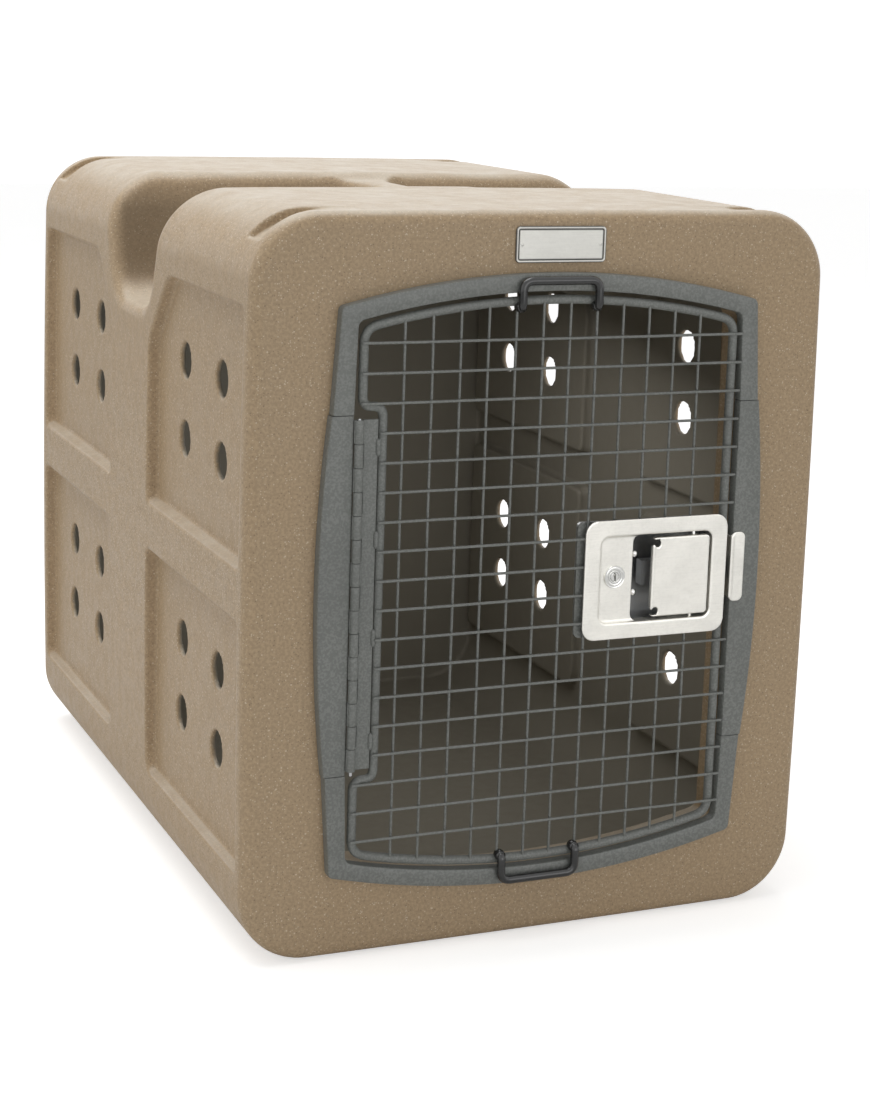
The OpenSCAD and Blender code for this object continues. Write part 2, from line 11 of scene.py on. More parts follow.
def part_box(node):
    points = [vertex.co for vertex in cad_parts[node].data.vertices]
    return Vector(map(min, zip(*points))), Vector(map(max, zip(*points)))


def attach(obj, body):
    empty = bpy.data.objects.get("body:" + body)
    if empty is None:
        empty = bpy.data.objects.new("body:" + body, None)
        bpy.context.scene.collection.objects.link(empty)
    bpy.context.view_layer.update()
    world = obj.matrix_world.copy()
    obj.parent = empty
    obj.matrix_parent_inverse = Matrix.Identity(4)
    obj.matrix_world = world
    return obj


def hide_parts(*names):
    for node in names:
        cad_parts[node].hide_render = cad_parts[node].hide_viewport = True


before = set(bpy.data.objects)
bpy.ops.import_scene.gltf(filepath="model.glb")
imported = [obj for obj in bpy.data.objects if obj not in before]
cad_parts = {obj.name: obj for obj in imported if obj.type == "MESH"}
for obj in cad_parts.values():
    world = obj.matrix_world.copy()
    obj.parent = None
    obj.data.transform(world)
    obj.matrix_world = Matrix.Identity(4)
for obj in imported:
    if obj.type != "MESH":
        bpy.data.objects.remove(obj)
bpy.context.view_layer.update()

bl_info = {
    "name": "Pet Transport Carrier",
    "version": (1, 0, 0),
    "blender": (4, 5, 0),
    "location": "3D View > Sidebar > Carrier",
    "description": "Moulded pet carrier with a wire door, a long hinge and a paddle latch",
    "category": "Object",
}

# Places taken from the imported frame, in metres.
SHELL_LO, SHELL_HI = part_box("body_shell")
HALF_W = SHELL_HI.x
HALF_H = SHELL_HI.z / 2
FRONT = SHELL_LO.y                     # the moulding's front face
REAR = SHELL_HI.y
MID_Y = (FRONT + REAR) / 2
MID_Z = HALF_H
POST_LO, POST_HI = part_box("frame_right_post")
ARCH_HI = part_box("frame_top_arch")[1]
SEAM = POST_HI.z - MID_Z               # half height of the side posts
APEX = ARCH_HI.z - MID_Z               # half height of the arched bars
RIM_LO, RIM_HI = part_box("door_rim")
ROD = (RIM_HI.y - RIM_LO.y) / 2
RIM_X = RIM_HI.x - ROD
RIM_APEX = RIM_HI.z - MID_Z - ROD
RIM_Y = (RIM_HI.y + RIM_LO.y) / 2
PIN_LO, PIN_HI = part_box("hinge_pin")
HINGE = Vector(((PIN_LO.x + PIN_HI.x) / 2, (PIN_LO.y + PIN_HI.y) / 2, MID_Z))
LEAF_LO, LEAF_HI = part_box("hinge_frame_leaf")
PAN_LO, PAN_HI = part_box("latch_pan")
PLATE = Vector(((PAN_LO.x + PAN_HI.x) / 2, PAN_LO.y, MID_Z))   # middle of the latch's face
BARREL_LO, BARREL_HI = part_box("lock_barrel")
LOCK = Vector(((BARREL_LO.x + BARREL_HI.x) / 2, BARREL_LO.y, (BARREL_LO.z + BARREL_HI.z) / 2))
PADDLE_LO, PADDLE_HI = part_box("latch_paddle")
PIVOT_LO, PIVOT_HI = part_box("paddle_pin")
PIVOT = Vector(((PIVOT_LO.x + PIVOT_HI.x) / 2, (PIVOT_LO.y + PIVOT_HI.y) / 2, MID_Z))
STRIKE_LO, STRIKE_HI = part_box("strike_plate")
BOLT_LO, BOLT_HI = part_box("latch_bolt")
LOOP_LO, LOOP_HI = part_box("top_stop_loop")
BADGE_LO, BADGE_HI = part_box("nameplate")
VERT_LO, VERT_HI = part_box("mesh_vertical_wires")
LEVEL_LO, LEVEL_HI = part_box("mesh_horizontal_wires")

# Sizes that several pieces share, in metres.
ARCH_RISE = 0.026                      # rise of the arched bars
FRAME_HALF = POST_HI.x - 0.0155        # half width of the frame at its corners
POST_IN = 0.1835                       # half width of the doorway between the posts
LEG_IN = 0.181                         # half width of the doorway at its corners
RIB = 0.072                            # half width of the side's middle rib
PANEL_END = (REAR - FRONT) / 2 - 0.024          # end of a side panel, from the middle
VENT_MID = (RIB + PANEL_END) / 2 - 0.002        # middle of a panel's vents
VENT_DY, VENT_DZ = 0.055, 0.036        # a vent's distance from the middle of its four
VENT_ROWS = (0.134, -0.126)            # heights of the upper and lower four vents
KNUCKLE_R = 0.004                      # radius of the hinge's knuckles
LEAF_T = 0.0016                        # thickness of the hinge's leaves
LEAF_WIDE = 0.014                      # width of the door leaf beyond its knuckles
JOG_X = HINGE.x + KNUCKLE_R + LEAF_WIDE + 0.0006 + ROD   # the rim's step round the hinge
LOOP_HALF = 0.036                      # half width of a stop loop, to the rod's middle
LATCH_LEFT, LATCH_HALF = PLATE.x - 0.061, 0.045          # where the mesh stops for the latch
CAMERA_AT = Vector((-0.8194, -1.6649 + LEVEL_LO.y, 0.4647 + MID_Z))
CAMERA_TURN, CAMERA_RISE, CAMERA_ROLL = (math.radians(a) for a in (-23.14, 9.895, 1.873))
CAMERA_LENS, CAMERA_SENSOR = 71.66, 36.0       # in millimetres
CAMERA_SHIFT = (-0.00409, -0.11745)            # shares of the picture's height


# ---------- sizes and colours ----------

class CarrierSizes(PropertyGroup):
    """Sizes of the carrier's looks, beyond those that the frame fixes."""
    edge: FloatProperty(name="End edge rounding", description="Rounding of the front and rear edges",
                        default=0.012, unit="LENGTH")
    corner: FloatProperty(name="Corner radius", description="Radius of the four long corners",
                          default=0.060, unit="LENGTH")
    wall: FloatProperty(name="Wall", description="Moulded wall thickness", default=0.0055, unit="LENGTH")
    panel_depth: FloatProperty(name="Panel depth", description="Depth of the recessed side panels",
                               default=0.012, unit="LENGTH")
    vent: FloatProperty(name="Vent diameter", description="Diameter of the round vents",
                        default=0.033, unit="LENGTH")
    channel_side: FloatProperty(name="Channel depth at the sides",
                                description="Depth of the top channel's ends", default=0.119, unit="LENGTH")
    channel_mid: FloatProperty(name="Channel depth", description="Depth of the top channel's middle",
                               default=0.084, unit="LENGTH")
    bar: FloatProperty(name="Bar face", description="Face width of the arched frame bars",
                       default=0.0155, unit="LENGTH")
    pitch: FloatProperty(name="Mesh pitch", description="Distance between mesh wires",
                         default=0.0254, unit="LENGTH")
    wire: FloatProperty(name="Wire diameter", description="Diameter of the mesh wires",
                        default=0.0025, unit="LENGTH")
    fine: FloatProperty(name="Moulding detail", description="Finest facet of the moulding",
                        default=0.0032, unit="LENGTH")


class CarrierColours(PropertyGroup):
    """Colours of the finishes."""
    moulding: FloatVectorProperty(name="Moulding", description="Granite-flecked plastic", subtype="COLOR",
                                  size=3, default=(0.47, 0.345, 0.215))
    fleck_light: FloatVectorProperty(name="Light flecks", description="Pale granite flecks", subtype="COLOR",
                                     size=3, default=(0.66, 0.56, 0.42))
    fleck_dark: FloatVectorProperty(name="Dark flecks", description="Dark granite flecks", subtype="COLOR",
                                    size=3, default=(0.10, 0.066, 0.036))
    coat: FloatVectorProperty(name="Powder coat", description="Grey-green hammered coating", subtype="COLOR",
                              size=3, default=(0.165, 0.172, 0.160))
    steel: FloatVectorProperty(name="Stainless", description="Satin stainless sheet", subtype="COLOR",
                               size=3, default=(0.92, 0.90, 0.84))
    zinc: FloatVectorProperty(name="Zinc plate", description="Zinc-plated steel", subtype="COLOR",
                              size=3, default=(0.56, 0.57, 0.58))
    vinyl: FloatVectorProperty(name="Vinyl", description="Dipped coating of the loops", subtype="COLOR",
                               size=3, default=(0.012, 0.012, 0.012))
    floor: FloatVectorProperty(name="Floor", description="Studio floor", subtype="COLOR",
                               size=3, default=(0.86, 0.86, 0.855))


def sizes():
    return bpy.context.scene.carrier_sizes


def colours():
    return bpy.context.scene.carrier_colours


# ---------- forms: a form gives the distance to its surface, negative inside ----------

def smooth_max(a, b, k):
    """The greater of two distances, blended over about k."""
    h = np.clip(0.5 - 0.5 * (b - a) / k, 0, 1)
    return b * (1 - h) + a * h + k * h * (1 - h)


def smooth_min(a, b, k):
    """The lesser of two distances, blended over about k."""
    return -smooth_max(-a, -b, k)


def rounded_rect(u, v, half_u, half_v, r):
    """A flat rectangle about the middle, with corners of radius r."""
    qu = np.abs(u) - half_u + r
    qv = np.abs(v) - half_v + r
    return np.hypot(np.maximum(qu, 0), np.maximum(qv, 0)) + np.minimum(np.maximum(qu, qv), 0) - r


def extruded(flat, depth, r):
    """A flat outline given thickness, with its edges rounded by r."""
    a, b = flat + r, depth + r
    return np.minimum(np.maximum(a, b), 0) + np.hypot(np.maximum(a, 0), np.maximum(b, 0)) - r


def convex(u, v, corners, k):
    """Inside of a convex outline whose corners run anticlockwise, softened by k."""
    d = None
    for (u0, v0), (u1, v1) in zip(corners, corners[1:] + corners[:1]):
        length = math.hypot(u1 - u0, v1 - v0)
        side = ((u - u0) * (v1 - v0) - (v - v0) * (u1 - u0)) / length
        d = side if d is None else smooth_max(d, side, k)
    return d


def ticks(lo, hi, coarse, fine, zones):
    """Grid lines from lo to hi, fine inside the zones and coarse between them."""
    marks = sorted({lo, hi} | {min(max(v, lo), hi) for zone in zones for v in zone})
    out = [lo]
    for a, b in zip(marks, marks[1:]):
        mid = (a + b) / 2
        step = fine if any(p <= mid <= q for p, q in zones) else coarse
        count = max(1, math.ceil((b - a) / step - 1e-6))
        out += list(np.linspace(a, b, count + 1)[1:])
    return np.array(out)


def skin(name, form, gx, gy, gz, passes=2):
    """Makes a mesh of a form's surface on the grid gx, gy, gz, smooth-shaded by the form's own slope."""
    f = np.asarray(form(gx[:, None, None], gy[None, :, None], gz[None, None, :]), dtype=np.float64)
    f = np.broadcast_to(f, (len(gx), len(gy), len(gz)))
    s = f < 0
    nx, ny, nz = f.shape
    some = np.zeros((nx - 1, ny - 1, nz - 1), bool)
    every = np.ones_like(some)
    corners = list(product((0, 1), repeat=3))
    for i, j, k in corners:
        part = s[i:nx - 1 + i, j:ny - 1 + j, k:nz - 1 + k]
        some |= part
        every &= part
    cells = some & ~every
    number = np.full(cells.shape, -1, np.int64)
    number[cells] = np.arange(int(cells.sum()))
    I, J, K = np.nonzero(cells)
    total = np.zeros((len(I), 3))
    count = np.zeros(len(I))
    for a in corners:
        for axis in range(3):
            if a[axis]:
                continue
            b = list(a)
            b[axis] = 1
            fa = f[I + a[0], J + a[1], K + a[2]]
            fb = f[I + b[0], J + b[1], K + b[2]]
            cross = (fa < 0) != (fb < 0)
            t = np.where(cross, fa / np.where(cross, fa - fb, 1), 0)
            pa = np.stack([gx[I + a[0]], gy[J + a[1]], gz[K + a[2]]], 1)
            pb = np.stack([gx[I + b[0]], gy[J + b[1]], gz[K + b[2]]], 1)
            total += np.where(cross[:, None], pa + (pb - pa) * t[:, None], 0)
            count += cross
    points = total / count[:, None]

    def slope(p, h):
        g = np.empty_like(p)
        for axis in range(3):
            q = p.copy()
            q[:, axis] += h
            r = p.copy()
            r[:, axis] -= h
            g[:, axis] = (form(q[:, 0], q[:, 1], q[:, 2]) - form(r[:, 0], r[:, 1], r[:, 2])) / (2 * h)
        return g

    step = min(np.diff(gx).min(), np.diff(gy).min(), np.diff(gz).min())
    for _ in range(passes):
        g = slope(points, step * 0.2)
        d = form(points[:, 0], points[:, 1], points[:, 2])
        move = -np.clip(d, -step * 0.6, step * 0.6)[:, None] * g / np.maximum((g * g).sum(1), 0.2)[:, None]
        points = points + move
    normals = slope(points, step * 0.35)
    normals /= np.maximum(np.linalg.norm(normals, axis=1), 1e-9)[:, None]

    quads = []
    for axis in range(3):
        lo = [slice(None)] * 3
        hi = [slice(None)] * 3
        lo[axis] = slice(0, -1)
        hi[axis] = slice(1, None)
        inside, outside = s[tuple(lo)], s[tuple(hi)]
        change = inside != outside
        u, v = (axis + 1) % 3, (axis + 2) % 3
        cut = [slice(None)] * 3
        cut[u] = slice(1, f.shape[u] - 1)
        cut[v] = slice(1, f.shape[v] - 1)
        at = np.argwhere(change[tuple(cut)])
        at[:, u] += 1
        at[:, v] += 1
        around = []
        for du, dv in ((-1, -1), (0, -1), (0, 0), (-1, 0)):
            c = at.copy()
            c[:, u] += du
            c[:, v] += dv
            around.append(number[c[:, 0], c[:, 1], c[:, 2]])
        around = np.stack(around, 1)
        flip = ~inside[at[:, 0], at[:, 1], at[:, 2]]
        around[flip] = around[flip][:, ::-1]
        quads.append(around)
    quads = np.concatenate(quads)
    me = bpy.data.meshes.new(name)
    me.vertices.add(len(points))
    me.vertices.foreach_set("co", points.astype(np.float32).ravel())
    me.loops.add(quads.size)
    me.loops.foreach_set("vertex_index", quads.astype(np.int32).ravel())
    me.polygons.add(len(quads))
    me.polygons.foreach_set("loop_start", np.arange(0, quads.size, 4, dtype=np.int32))
    me.polygons.foreach_set("loop_total", np.full(len(quads), 4, np.int32))
    me.update(calc_edges=True)
    me.validate()
    me.polygons.foreach_set("use_smooth", np.ones(len(me.polygons), bool))
    me.normals_split_custom_set_from_vertices([tuple(n) for n in normals])
    ob = bpy.data.objects.new(name, me)
    bpy.context.scene.collection.objects.link(ob)
    return ob


def read_vertices(me, what):
    """Each vertex's place ("co") or direction ("normal"), a row each."""
    flat = np.empty(len(me.vertices) * 3)
    me.vertices.foreach_get(what, flat)
    return flat.reshape(-1, 3)


def keep_mask(me, name, values):
    """Stores one number a vertex, for a finish to read."""
    me.attributes.new(name, "FLOAT", "POINT").data.foreach_set("value", values.astype(np.float32))


def mesh_piece(name, verts, faces):
    """Makes a smooth-shaded mesh object from points and faces."""
    me = bpy.data.meshes.new(name)
    me.from_pydata([tuple(v) for v in verts], [], [tuple(f) for f in faces])
    me.validate()
    me.update()
    me.polygons.foreach_set("use_smooth", np.ones(len(me.polygons), bool))
    ob = bpy.data.objects.new(name, me)
    bpy.context.scene.collection.objects.link(ob)
    return ob


def swept(path, r, sides, closed=False):
    """Points and faces of a rod of radius r along a path, with rounded ends."""
    p = np.array(path, float)
    n = len(p)
    if closed:
        t = np.roll(p, -1, 0) - np.roll(p, 1, 0)
    else:
        t = np.gradient(p, axis=0)
    t /= np.linalg.norm(t, axis=1)[:, None]
    radii = np.full(n, r)
    if not closed:
        a0, a1 = p[0], p[-1]
        cap = [(1.0, 0.35), (0.72, 0.75), (0.3, 0.95)]
        head = [a0 - t[0] * r * c * 0.8 for c, _ in cap]
        tail = [a1 + t[-1] * r * c * 0.8 for c, _ in reversed(cap)]
        p = np.concatenate([head, p, tail])
        radii = np.concatenate([[r * w for _, w in cap], radii, [r * w for _, w in reversed(cap)]])
        t = np.concatenate([[t[0]] * 3, t, [t[-1]] * 3])
        n = len(p)
    up = Vector((0, 1, 0)) if abs(t[0][1]) < 0.9 else Vector((1, 0, 0))
    u = Vector(t[0]).cross(up).normalized()
    verts, faces = [], []
    for i in range(n):
        ti = Vector(t[i])
        u = (u - ti * u.dot(ti)).normalized()
        w = ti.cross(u)
        for k in range(sides):
            a = 2 * math.pi * k / sides
            verts.append(Vector(p[i]) + (u * math.cos(a) + w * math.sin(a)) * radii[i])
    rings = n if closed else n - 1
    for i in range(rings):
        j = (i + 1) % n
        for k in range(sides):
            l = (k + 1) % sides
            faces.append((i * sides + k, i * sides + l, j * sides + l, j * sides + k))
    if not closed:
        faces.append(tuple(range(sides - 1, -1, -1)))
        faces.append(tuple((n - 1) * sides + k for k in range(sides)))
    return verts, faces


def turned(outline, centre, axis, sides):
    """Points and faces of a turned part: outline lists (radius, distance along axis)."""
    a = Vector(axis).normalized()
    u = a.orthogonal().normalized()
    w = a.cross(u)
    verts, faces = [], []
    for r, h in outline:
        for k in range(sides):
            t = 2 * math.pi * k / sides
            verts.append(Vector(centre) + a * h + (u * math.cos(t) + w * math.sin(t)) * r)
    for i in range(len(outline) - 1):
        for k in range(sides):
            l = (k + 1) % sides
            faces.append((i * sides + k, i * sides + l, (i + 1) * sides + l, (i + 1) * sides + k))
    faces.append(tuple(range(sides - 1, -1, -1)))
    faces.append(tuple((len(outline) - 1) * sides + k for k in range(sides)))
    return verts, faces


def joined(parts):
    """Points and faces of several parts as one."""
    verts, faces = [], []
    for v, f in parts:
        base = len(verts)
        verts += list(v)
        faces += [tuple(i + base for i in face) for face in f]
    return verts, faces


def settle(ob, body, slot, material, *nodes):
    """Gives a piece its finish, its body and the CAD nodes that it stands for."""
    ob.data.materials.clear()
    ob.data.materials.append(material)
    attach(ob, body)
    if nodes:
        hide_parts(*nodes)


# ---------- finishes ----------

SURFACE = [("Color", "NodeSocketColor"), ("Height", "NodeSocketFloat"), ("Gloss", "NodeSocketFloat")]


def effect(name, inputs, outputs):
    """An empty shader group with named sockets, or the one already made."""
    if name in bpy.data.node_groups:
        return bpy.data.node_groups[name], None, None
    g = bpy.data.node_groups.new(name, "ShaderNodeTree")
    for n, kind, value in inputs:
        s = g.interface.new_socket(n, in_out="INPUT", socket_type=kind)
        s.default_value = value
    for n, kind in outputs:
        g.interface.new_socket(n, in_out="OUTPUT", socket_type=kind)
    return g, g.nodes.new("NodeGroupInput"), g.nodes.new("NodeGroupOutput")


def node(tree, kind, **values):
    """A new shader node with the given settings."""
    n = tree.nodes.new(kind)
    for k, v in values.items():
        setattr(n, k, v)
    return n


def math_node(tree, op, a, b):
    """A sum, product or comparison of two values, each a number or a socket."""
    n = node(tree, "ShaderNodeMath", operation=op)
    for s, v in zip(n.inputs, (a, b)):
        if isinstance(v, (int, float)):
            s.default_value = v
        else:
            tree.links.new(v, s)
    return n.outputs[0]


def ramp(tree, value, lo, hi, out_lo=0.0, out_hi=1.0):
    """A smooth step from out_lo to out_hi as a value goes from lo to hi."""
    n = node(tree, "ShaderNodeMapRange", interpolation_type="SMOOTHSTEP")
    tree.links.new(value, n.inputs["Value"])
    for k, v in (("From Min", lo), ("From Max", hi), ("To Min", out_lo), ("To Max", out_hi)):
        n.inputs[k].default_value = v
    return n.outputs["Result"]


def mixed(tree, fac, a, b):
    """Colour a mixed with colour b by a factor; each is a constant or a socket."""
    n = node(tree, "ShaderNodeMix", data_type="RGBA")
    for s, v in ((n.inputs[0], fac), (n.inputs[6], a), (n.inputs[7], b)):
        if isinstance(v, (int, float)):
            s.default_value = v
        elif isinstance(v, (tuple, list)):
            s.default_value = tuple(v)[:3] + (1,)
        else:
            tree.links.new(v, s)
    return n.outputs[2]


def cloud(tree, vector, scale, detail=2.0, rough=0.5):
    """Soft noise at a scale."""
    n = node(tree, "ShaderNodeTexNoise")
    n.inputs["Scale"].default_value = scale
    n.inputs["Detail"].default_value = detail
    n.inputs["Roughness"].default_value = rough
    tree.links.new(vector, n.inputs["Vector"])
    return n.outputs["Fac"]


def specks(tree, vector, scale, size, share):
    """A mask of scattered specks: a share of the cells hold one, of a given size."""
    n = node(tree, "ShaderNodeTexVoronoi", feature="F1")
    n.inputs["Scale"].default_value = scale
    tree.links.new(vector, n.inputs["Vector"])
    pick = node(tree, "ShaderNodeSeparateColor")
    tree.links.new(n.outputs["Color"], pick.inputs[0])
    chosen = math_node(tree, "LESS_THAN", pick.outputs[0], share)
    dot = ramp(tree, n.outputs["Distance"], size, size * 0.55)
    return math_node(tree, "MULTIPLY", chosen, dot)


def scaled_place(tree, scale):
    """The place on the piece, times a scale."""
    n = node(tree, "ShaderNodeVectorMath", operation="SCALE")
    tree.links.new(node(tree, "ShaderNodeTexCoord").outputs["Object"], n.inputs[0])
    tree.links.new(scale, n.inputs["Scale"])
    return n.outputs[0]


def granite_effect():
    """Flecked moulding colour, and the fine grain that its surface has."""
    g, i, o = effect("Granite flecks", [
        ("Base", "NodeSocketColor", (0.4, 0.3, 0.2, 1)), ("Light", "NodeSocketColor", (0.8, 0.7, 0.5, 1)),
        ("Dark", "NodeSocketColor", (0.1, 0.07, 0.04, 1)), ("Scale", "NodeSocketFloat", 1.0)],
        SURFACE)
    if i is None:
        return g
    v = scaled_place(g, i.outputs["Scale"])
    broad = cloud(g, v, 9.0, 3.0)
    soft = cloud(g, v, 380.0, 3.0, 0.6)
    tone = mixed(g, ramp(g, broad, 0.3, 0.7, 0.0, 0.10), i.outputs["Base"], (0.40, 0.33, 0.24))
    shade = mixed(g, ramp(g, soft, 0.40, 0.62, 0.22, 0.0), tone, i.outputs["Dark"])
    pale = math_node(g, "MAXIMUM", specks(g, v, 260.0, 0.24, 0.20), specks(g, v, 560.0, 0.36, 0.16))
    with_light = mixed(g, math_node(g, "MULTIPLY", pale, 0.85), shade, i.outputs["Light"])
    black = math_node(g, "MAXIMUM", specks(g, v, 150.0, 0.14, 0.10), specks(g, v, 520.0, 0.38, 0.16))
    full = mixed(g, math_node(g, "MULTIPLY", black, 0.45), with_light, i.outputs["Dark"])
    g.links.new(full, o.inputs["Color"])
    fine = cloud(g, v, 620.0, 2.0, 0.6)
    waves = cloud(g, v, 26.0, 2.0)
    grain = math_node(g, "ADD", math_node(g, "MULTIPLY", fine, 0.35), math_node(g, "MULTIPLY", waves, 0.9))
    g.links.new(grain, o.inputs["Height"])
    g.links.new(ramp(g, cloud(g, v, 70.0, 3.0), 0.3, 0.7, 0.0, 1.0), o.inputs["Gloss"])
    return g


def hammered_effect():
    """Orange-peel texture of a hammered powder coat, with a slight change of tone."""
    g, i, o = effect("Hammered coat", [("Color", "NodeSocketColor", (0.1, 0.1, 0.1, 1)),
                                        ("Scale", "NodeSocketFloat", 1.0)],
                     SURFACE)
    if i is None:
        return g
    v = scaled_place(g, i.outputs["Scale"])
    cells = node(g, "ShaderNodeTexVoronoi", feature="SMOOTH_F1")
    cells.inputs["Scale"].default_value = 330.0
    cells.inputs["Smoothness"].default_value = 0.7
    g.links.new(v, cells.inputs["Vector"])
    peel = cloud(g, v, 520.0, 2.0)
    height = math_node(g, "ADD", cells.outputs["Distance"], math_node(g, "MULTIPLY", peel, 0.5))
    tone = mixed(g, ramp(g, peel, 0.42, 0.62, 0.0, 0.40), i.outputs["Color"], (0.30, 0.31, 0.29))
    tone = mixed(g, ramp(g, cloud(g, v, 12.0, 3.0), 0.35, 0.7, 0.0, 0.22), tone, (0.11, 0.115, 0.108))
    g.links.new(tone, o.inputs["Color"])
    g.links.new(height, o.inputs["Height"])
    g.links.new(ramp(g, peel, 0.3, 0.7, 0.0, 1.0), o.inputs["Gloss"])
    return g


def brushed_effect():
    """Fine lines and faint smudges of satin sheet metal; Along stretches the lines."""
    g, i, o = effect("Satin metal", [("Color", "NodeSocketColor", (0.7, 0.7, 0.7, 1)),
                                      ("Along", "NodeSocketVector", (60.0, 900.0, 900.0))],
                     SURFACE)
    if i is None:
        return g
    co = node(g, "ShaderNodeTexCoord").outputs["Object"]
    stretched = node(g, "ShaderNodeVectorMath", operation="MULTIPLY")
    g.links.new(co, stretched.inputs[0])
    g.links.new(i.outputs["Along"], stretched.inputs[1])
    lines = cloud(g, stretched.outputs[0], 1.0, 3.0, 0.6)
    smudge = cloud(g, co, 34.0, 4.0, 0.6)
    mottle = cloud(g, co, 300.0, 3.0, 0.65)
    tone = mixed(g, ramp(g, lines, 0.3, 0.7, 0.0, 0.16), i.outputs["Color"], (0.60, 0.59, 0.55))
    tone = mixed(g, ramp(g, mottle, 0.42, 0.7, 0.0, 0.20), tone, (0.66, 0.645, 0.60))
    g.links.new(tone, o.inputs["Color"])
    g.links.new(lines, o.inputs["Height"])
    wear = math_node(g, "ADD", math_node(g, "MULTIPLY", smudge, 0.6), math_node(g, "MULTIPLY", lines, 0.4))
    g.links.new(ramp(g, wear, 0.35, 0.65), o.inputs["Gloss"])
    return g


def paler_facing_up_effect():
    """A paler colour where a surface faces up, in soft patches."""
    g, i, o = effect("Paler facing up", [("Color", "NodeSocketColor", (0.4, 0.4, 0.4, 1)),
                                       ("Dust", "NodeSocketColor", (0.55, 0.50, 0.42, 1)),
                                       ("Amount", "NodeSocketFloat", 0.2)],
                     [("Color", "NodeSocketColor")])
    if i is None:
        return g
    geo = node(g, "ShaderNodeNewGeometry")
    axes = node(g, "ShaderNodeSeparateXYZ")
    g.links.new(geo.outputs["Normal"], axes.inputs[0])
    up = ramp(g, axes.outputs["Z"], 0.55, 0.98)
    co = node(g, "ShaderNodeTexCoord").outputs["Object"]
    patch = ramp(g, cloud(g, co, 22.0, 4.0, 0.6), 0.32, 0.72, 0.35, 0.65)
    amount = math_node(g, "MULTIPLY", math_node(g, "MULTIPLY", up, patch), i.outputs["Amount"])
    g.links.new(mixed(g, amount, i.outputs["Color"], i.outputs["Dust"]), o.inputs["Color"])
    return g


def finish_base(name):
    """A new material, with its node tree and its main shader."""
    m = bpy.data.materials.new(name)
    m.use_nodes = True
    t = m.node_tree
    return m, t, t.nodes["Principled BSDF"]


def place(tree, group, **values):
    """Puts an effect group into a tree, with its constants set."""
    n = tree.nodes.new("ShaderNodeGroup")
    n.node_tree = group
    for k, v in values.items():
        s = n.inputs[k]
        s.default_value = tuple(v) + (1,) if s.type == "RGBA" else v
    return n


def raised(tree, shader, height, strength, distance):
    """Gives a shader fine relief from a height."""
    b = tree.nodes.new("ShaderNodeBump")
    b.inputs["Strength"].default_value = strength
    b.inputs["Distance"].default_value = distance
    tree.links.new(height, b.inputs["Height"])
    tree.links.new(b.outputs["Normal"], shader.inputs["Normal"])


def moulding_finish():
    """Flecked plastic, paler on top as painted top light with some settled dust, with painted shade and a
    duller tone inside and painted shade on the channel's walls.
    """
    if "flecked_moulding" in bpy.data.materials:
        return bpy.data.materials["flecked_moulding"]
    c = colours()
    m, t, p = finish_base("flecked_moulding")
    g = place(t, granite_effect(), Base=c.moulding, Light=c.fleck_light, Dark=c.fleck_dark, Scale=1.0)
    # paler where it faces up: painted top light, with some settled dust
    d = place(t, paler_facing_up_effect(), Dust=(0.78, 0.745, 0.66), Amount=0.68)
    t.links.new(g.outputs["Color"], d.inputs["Color"])
    # painted shade inside the cabin, with a duller interior tone
    inside = node(t, "ShaderNodeAttribute", attribute_name="inside")
    darker = mixed(t, inside.outputs["Fac"], d.outputs["Color"], (0.29, 0.265, 0.215))
    # painted shade on the channel's steep walls
    channel = node(t, "ShaderNodeAttribute", attribute_name="channel")
    channel_painted_shade = mixed(t, math_node(t, "MULTIPLY", channel.outputs["Fac"], 0.62), darker, (0.13, 0.095, 0.058))
    t.links.new(channel_painted_shade, p.inputs["Base Color"])
    t.links.new(ramp(t, g.outputs["Gloss"], 0.0, 1.0, 0.35, 0.46), p.inputs["Roughness"])
    p.inputs["Specular IOR Level"].default_value = 0.25
    raised(t, p, g.outputs["Height"], 0.22, 0.0006)
    return m


def coat_finish():
    """Grey-green hammered coat of the frame, the hinge and the wires."""
    if "hammered_coat" in bpy.data.materials:
        return bpy.data.materials["hammered_coat"]
    m, t, p = finish_base("hammered_coat")
    g = place(t, hammered_effect(), Color=colours().coat, Scale=1.0)
    # paler where it faces up
    d = place(t, paler_facing_up_effect(), Dust=(0.30, 0.30, 0.28), Amount=0.25)
    t.links.new(g.outputs["Color"], d.inputs["Color"])
    t.links.new(d.outputs["Color"], p.inputs["Base Color"])
    t.links.new(ramp(t, g.outputs["Gloss"], 0.0, 1.0, 0.34, 0.48), p.inputs["Roughness"])
    raised(t, p, g.outputs["Height"], 0.30, 0.0005)
    return m


def metal_finish(name, colour, along, rough_lo, rough_hi, bump):
    """Bare metal of a colour, with a range of roughness."""
    if name in bpy.data.materials:
        return bpy.data.materials[name]
    m, t, p = finish_base(name)
    g = place(t, brushed_effect(), Color=colour, Along=along)
    t.links.new(g.outputs["Color"], p.inputs["Base Color"])
    t.links.new(ramp(t, g.outputs["Gloss"], 0.0, 1.0, rough_lo, rough_hi), p.inputs["Roughness"])
    p.inputs["Metallic"].default_value = 1.0
    raised(t, p, g.outputs["Height"], bump, 0.0002)
    return m


def steel_finish():
    return metal_finish("satin_stainless", colours().steel, (70.0, 900.0, 900.0), 0.30, 0.44, 0.10)


def bright_finish():
    return metal_finish("bright_steel", (0.80, 0.80, 0.78), (500.0, 500.0, 500.0), 0.16, 0.26, 0.05)


def zinc_finish():
    return metal_finish("zinc_plated", colours().zinc, (400.0, 400.0, 400.0), 0.30, 0.48, 0.15)


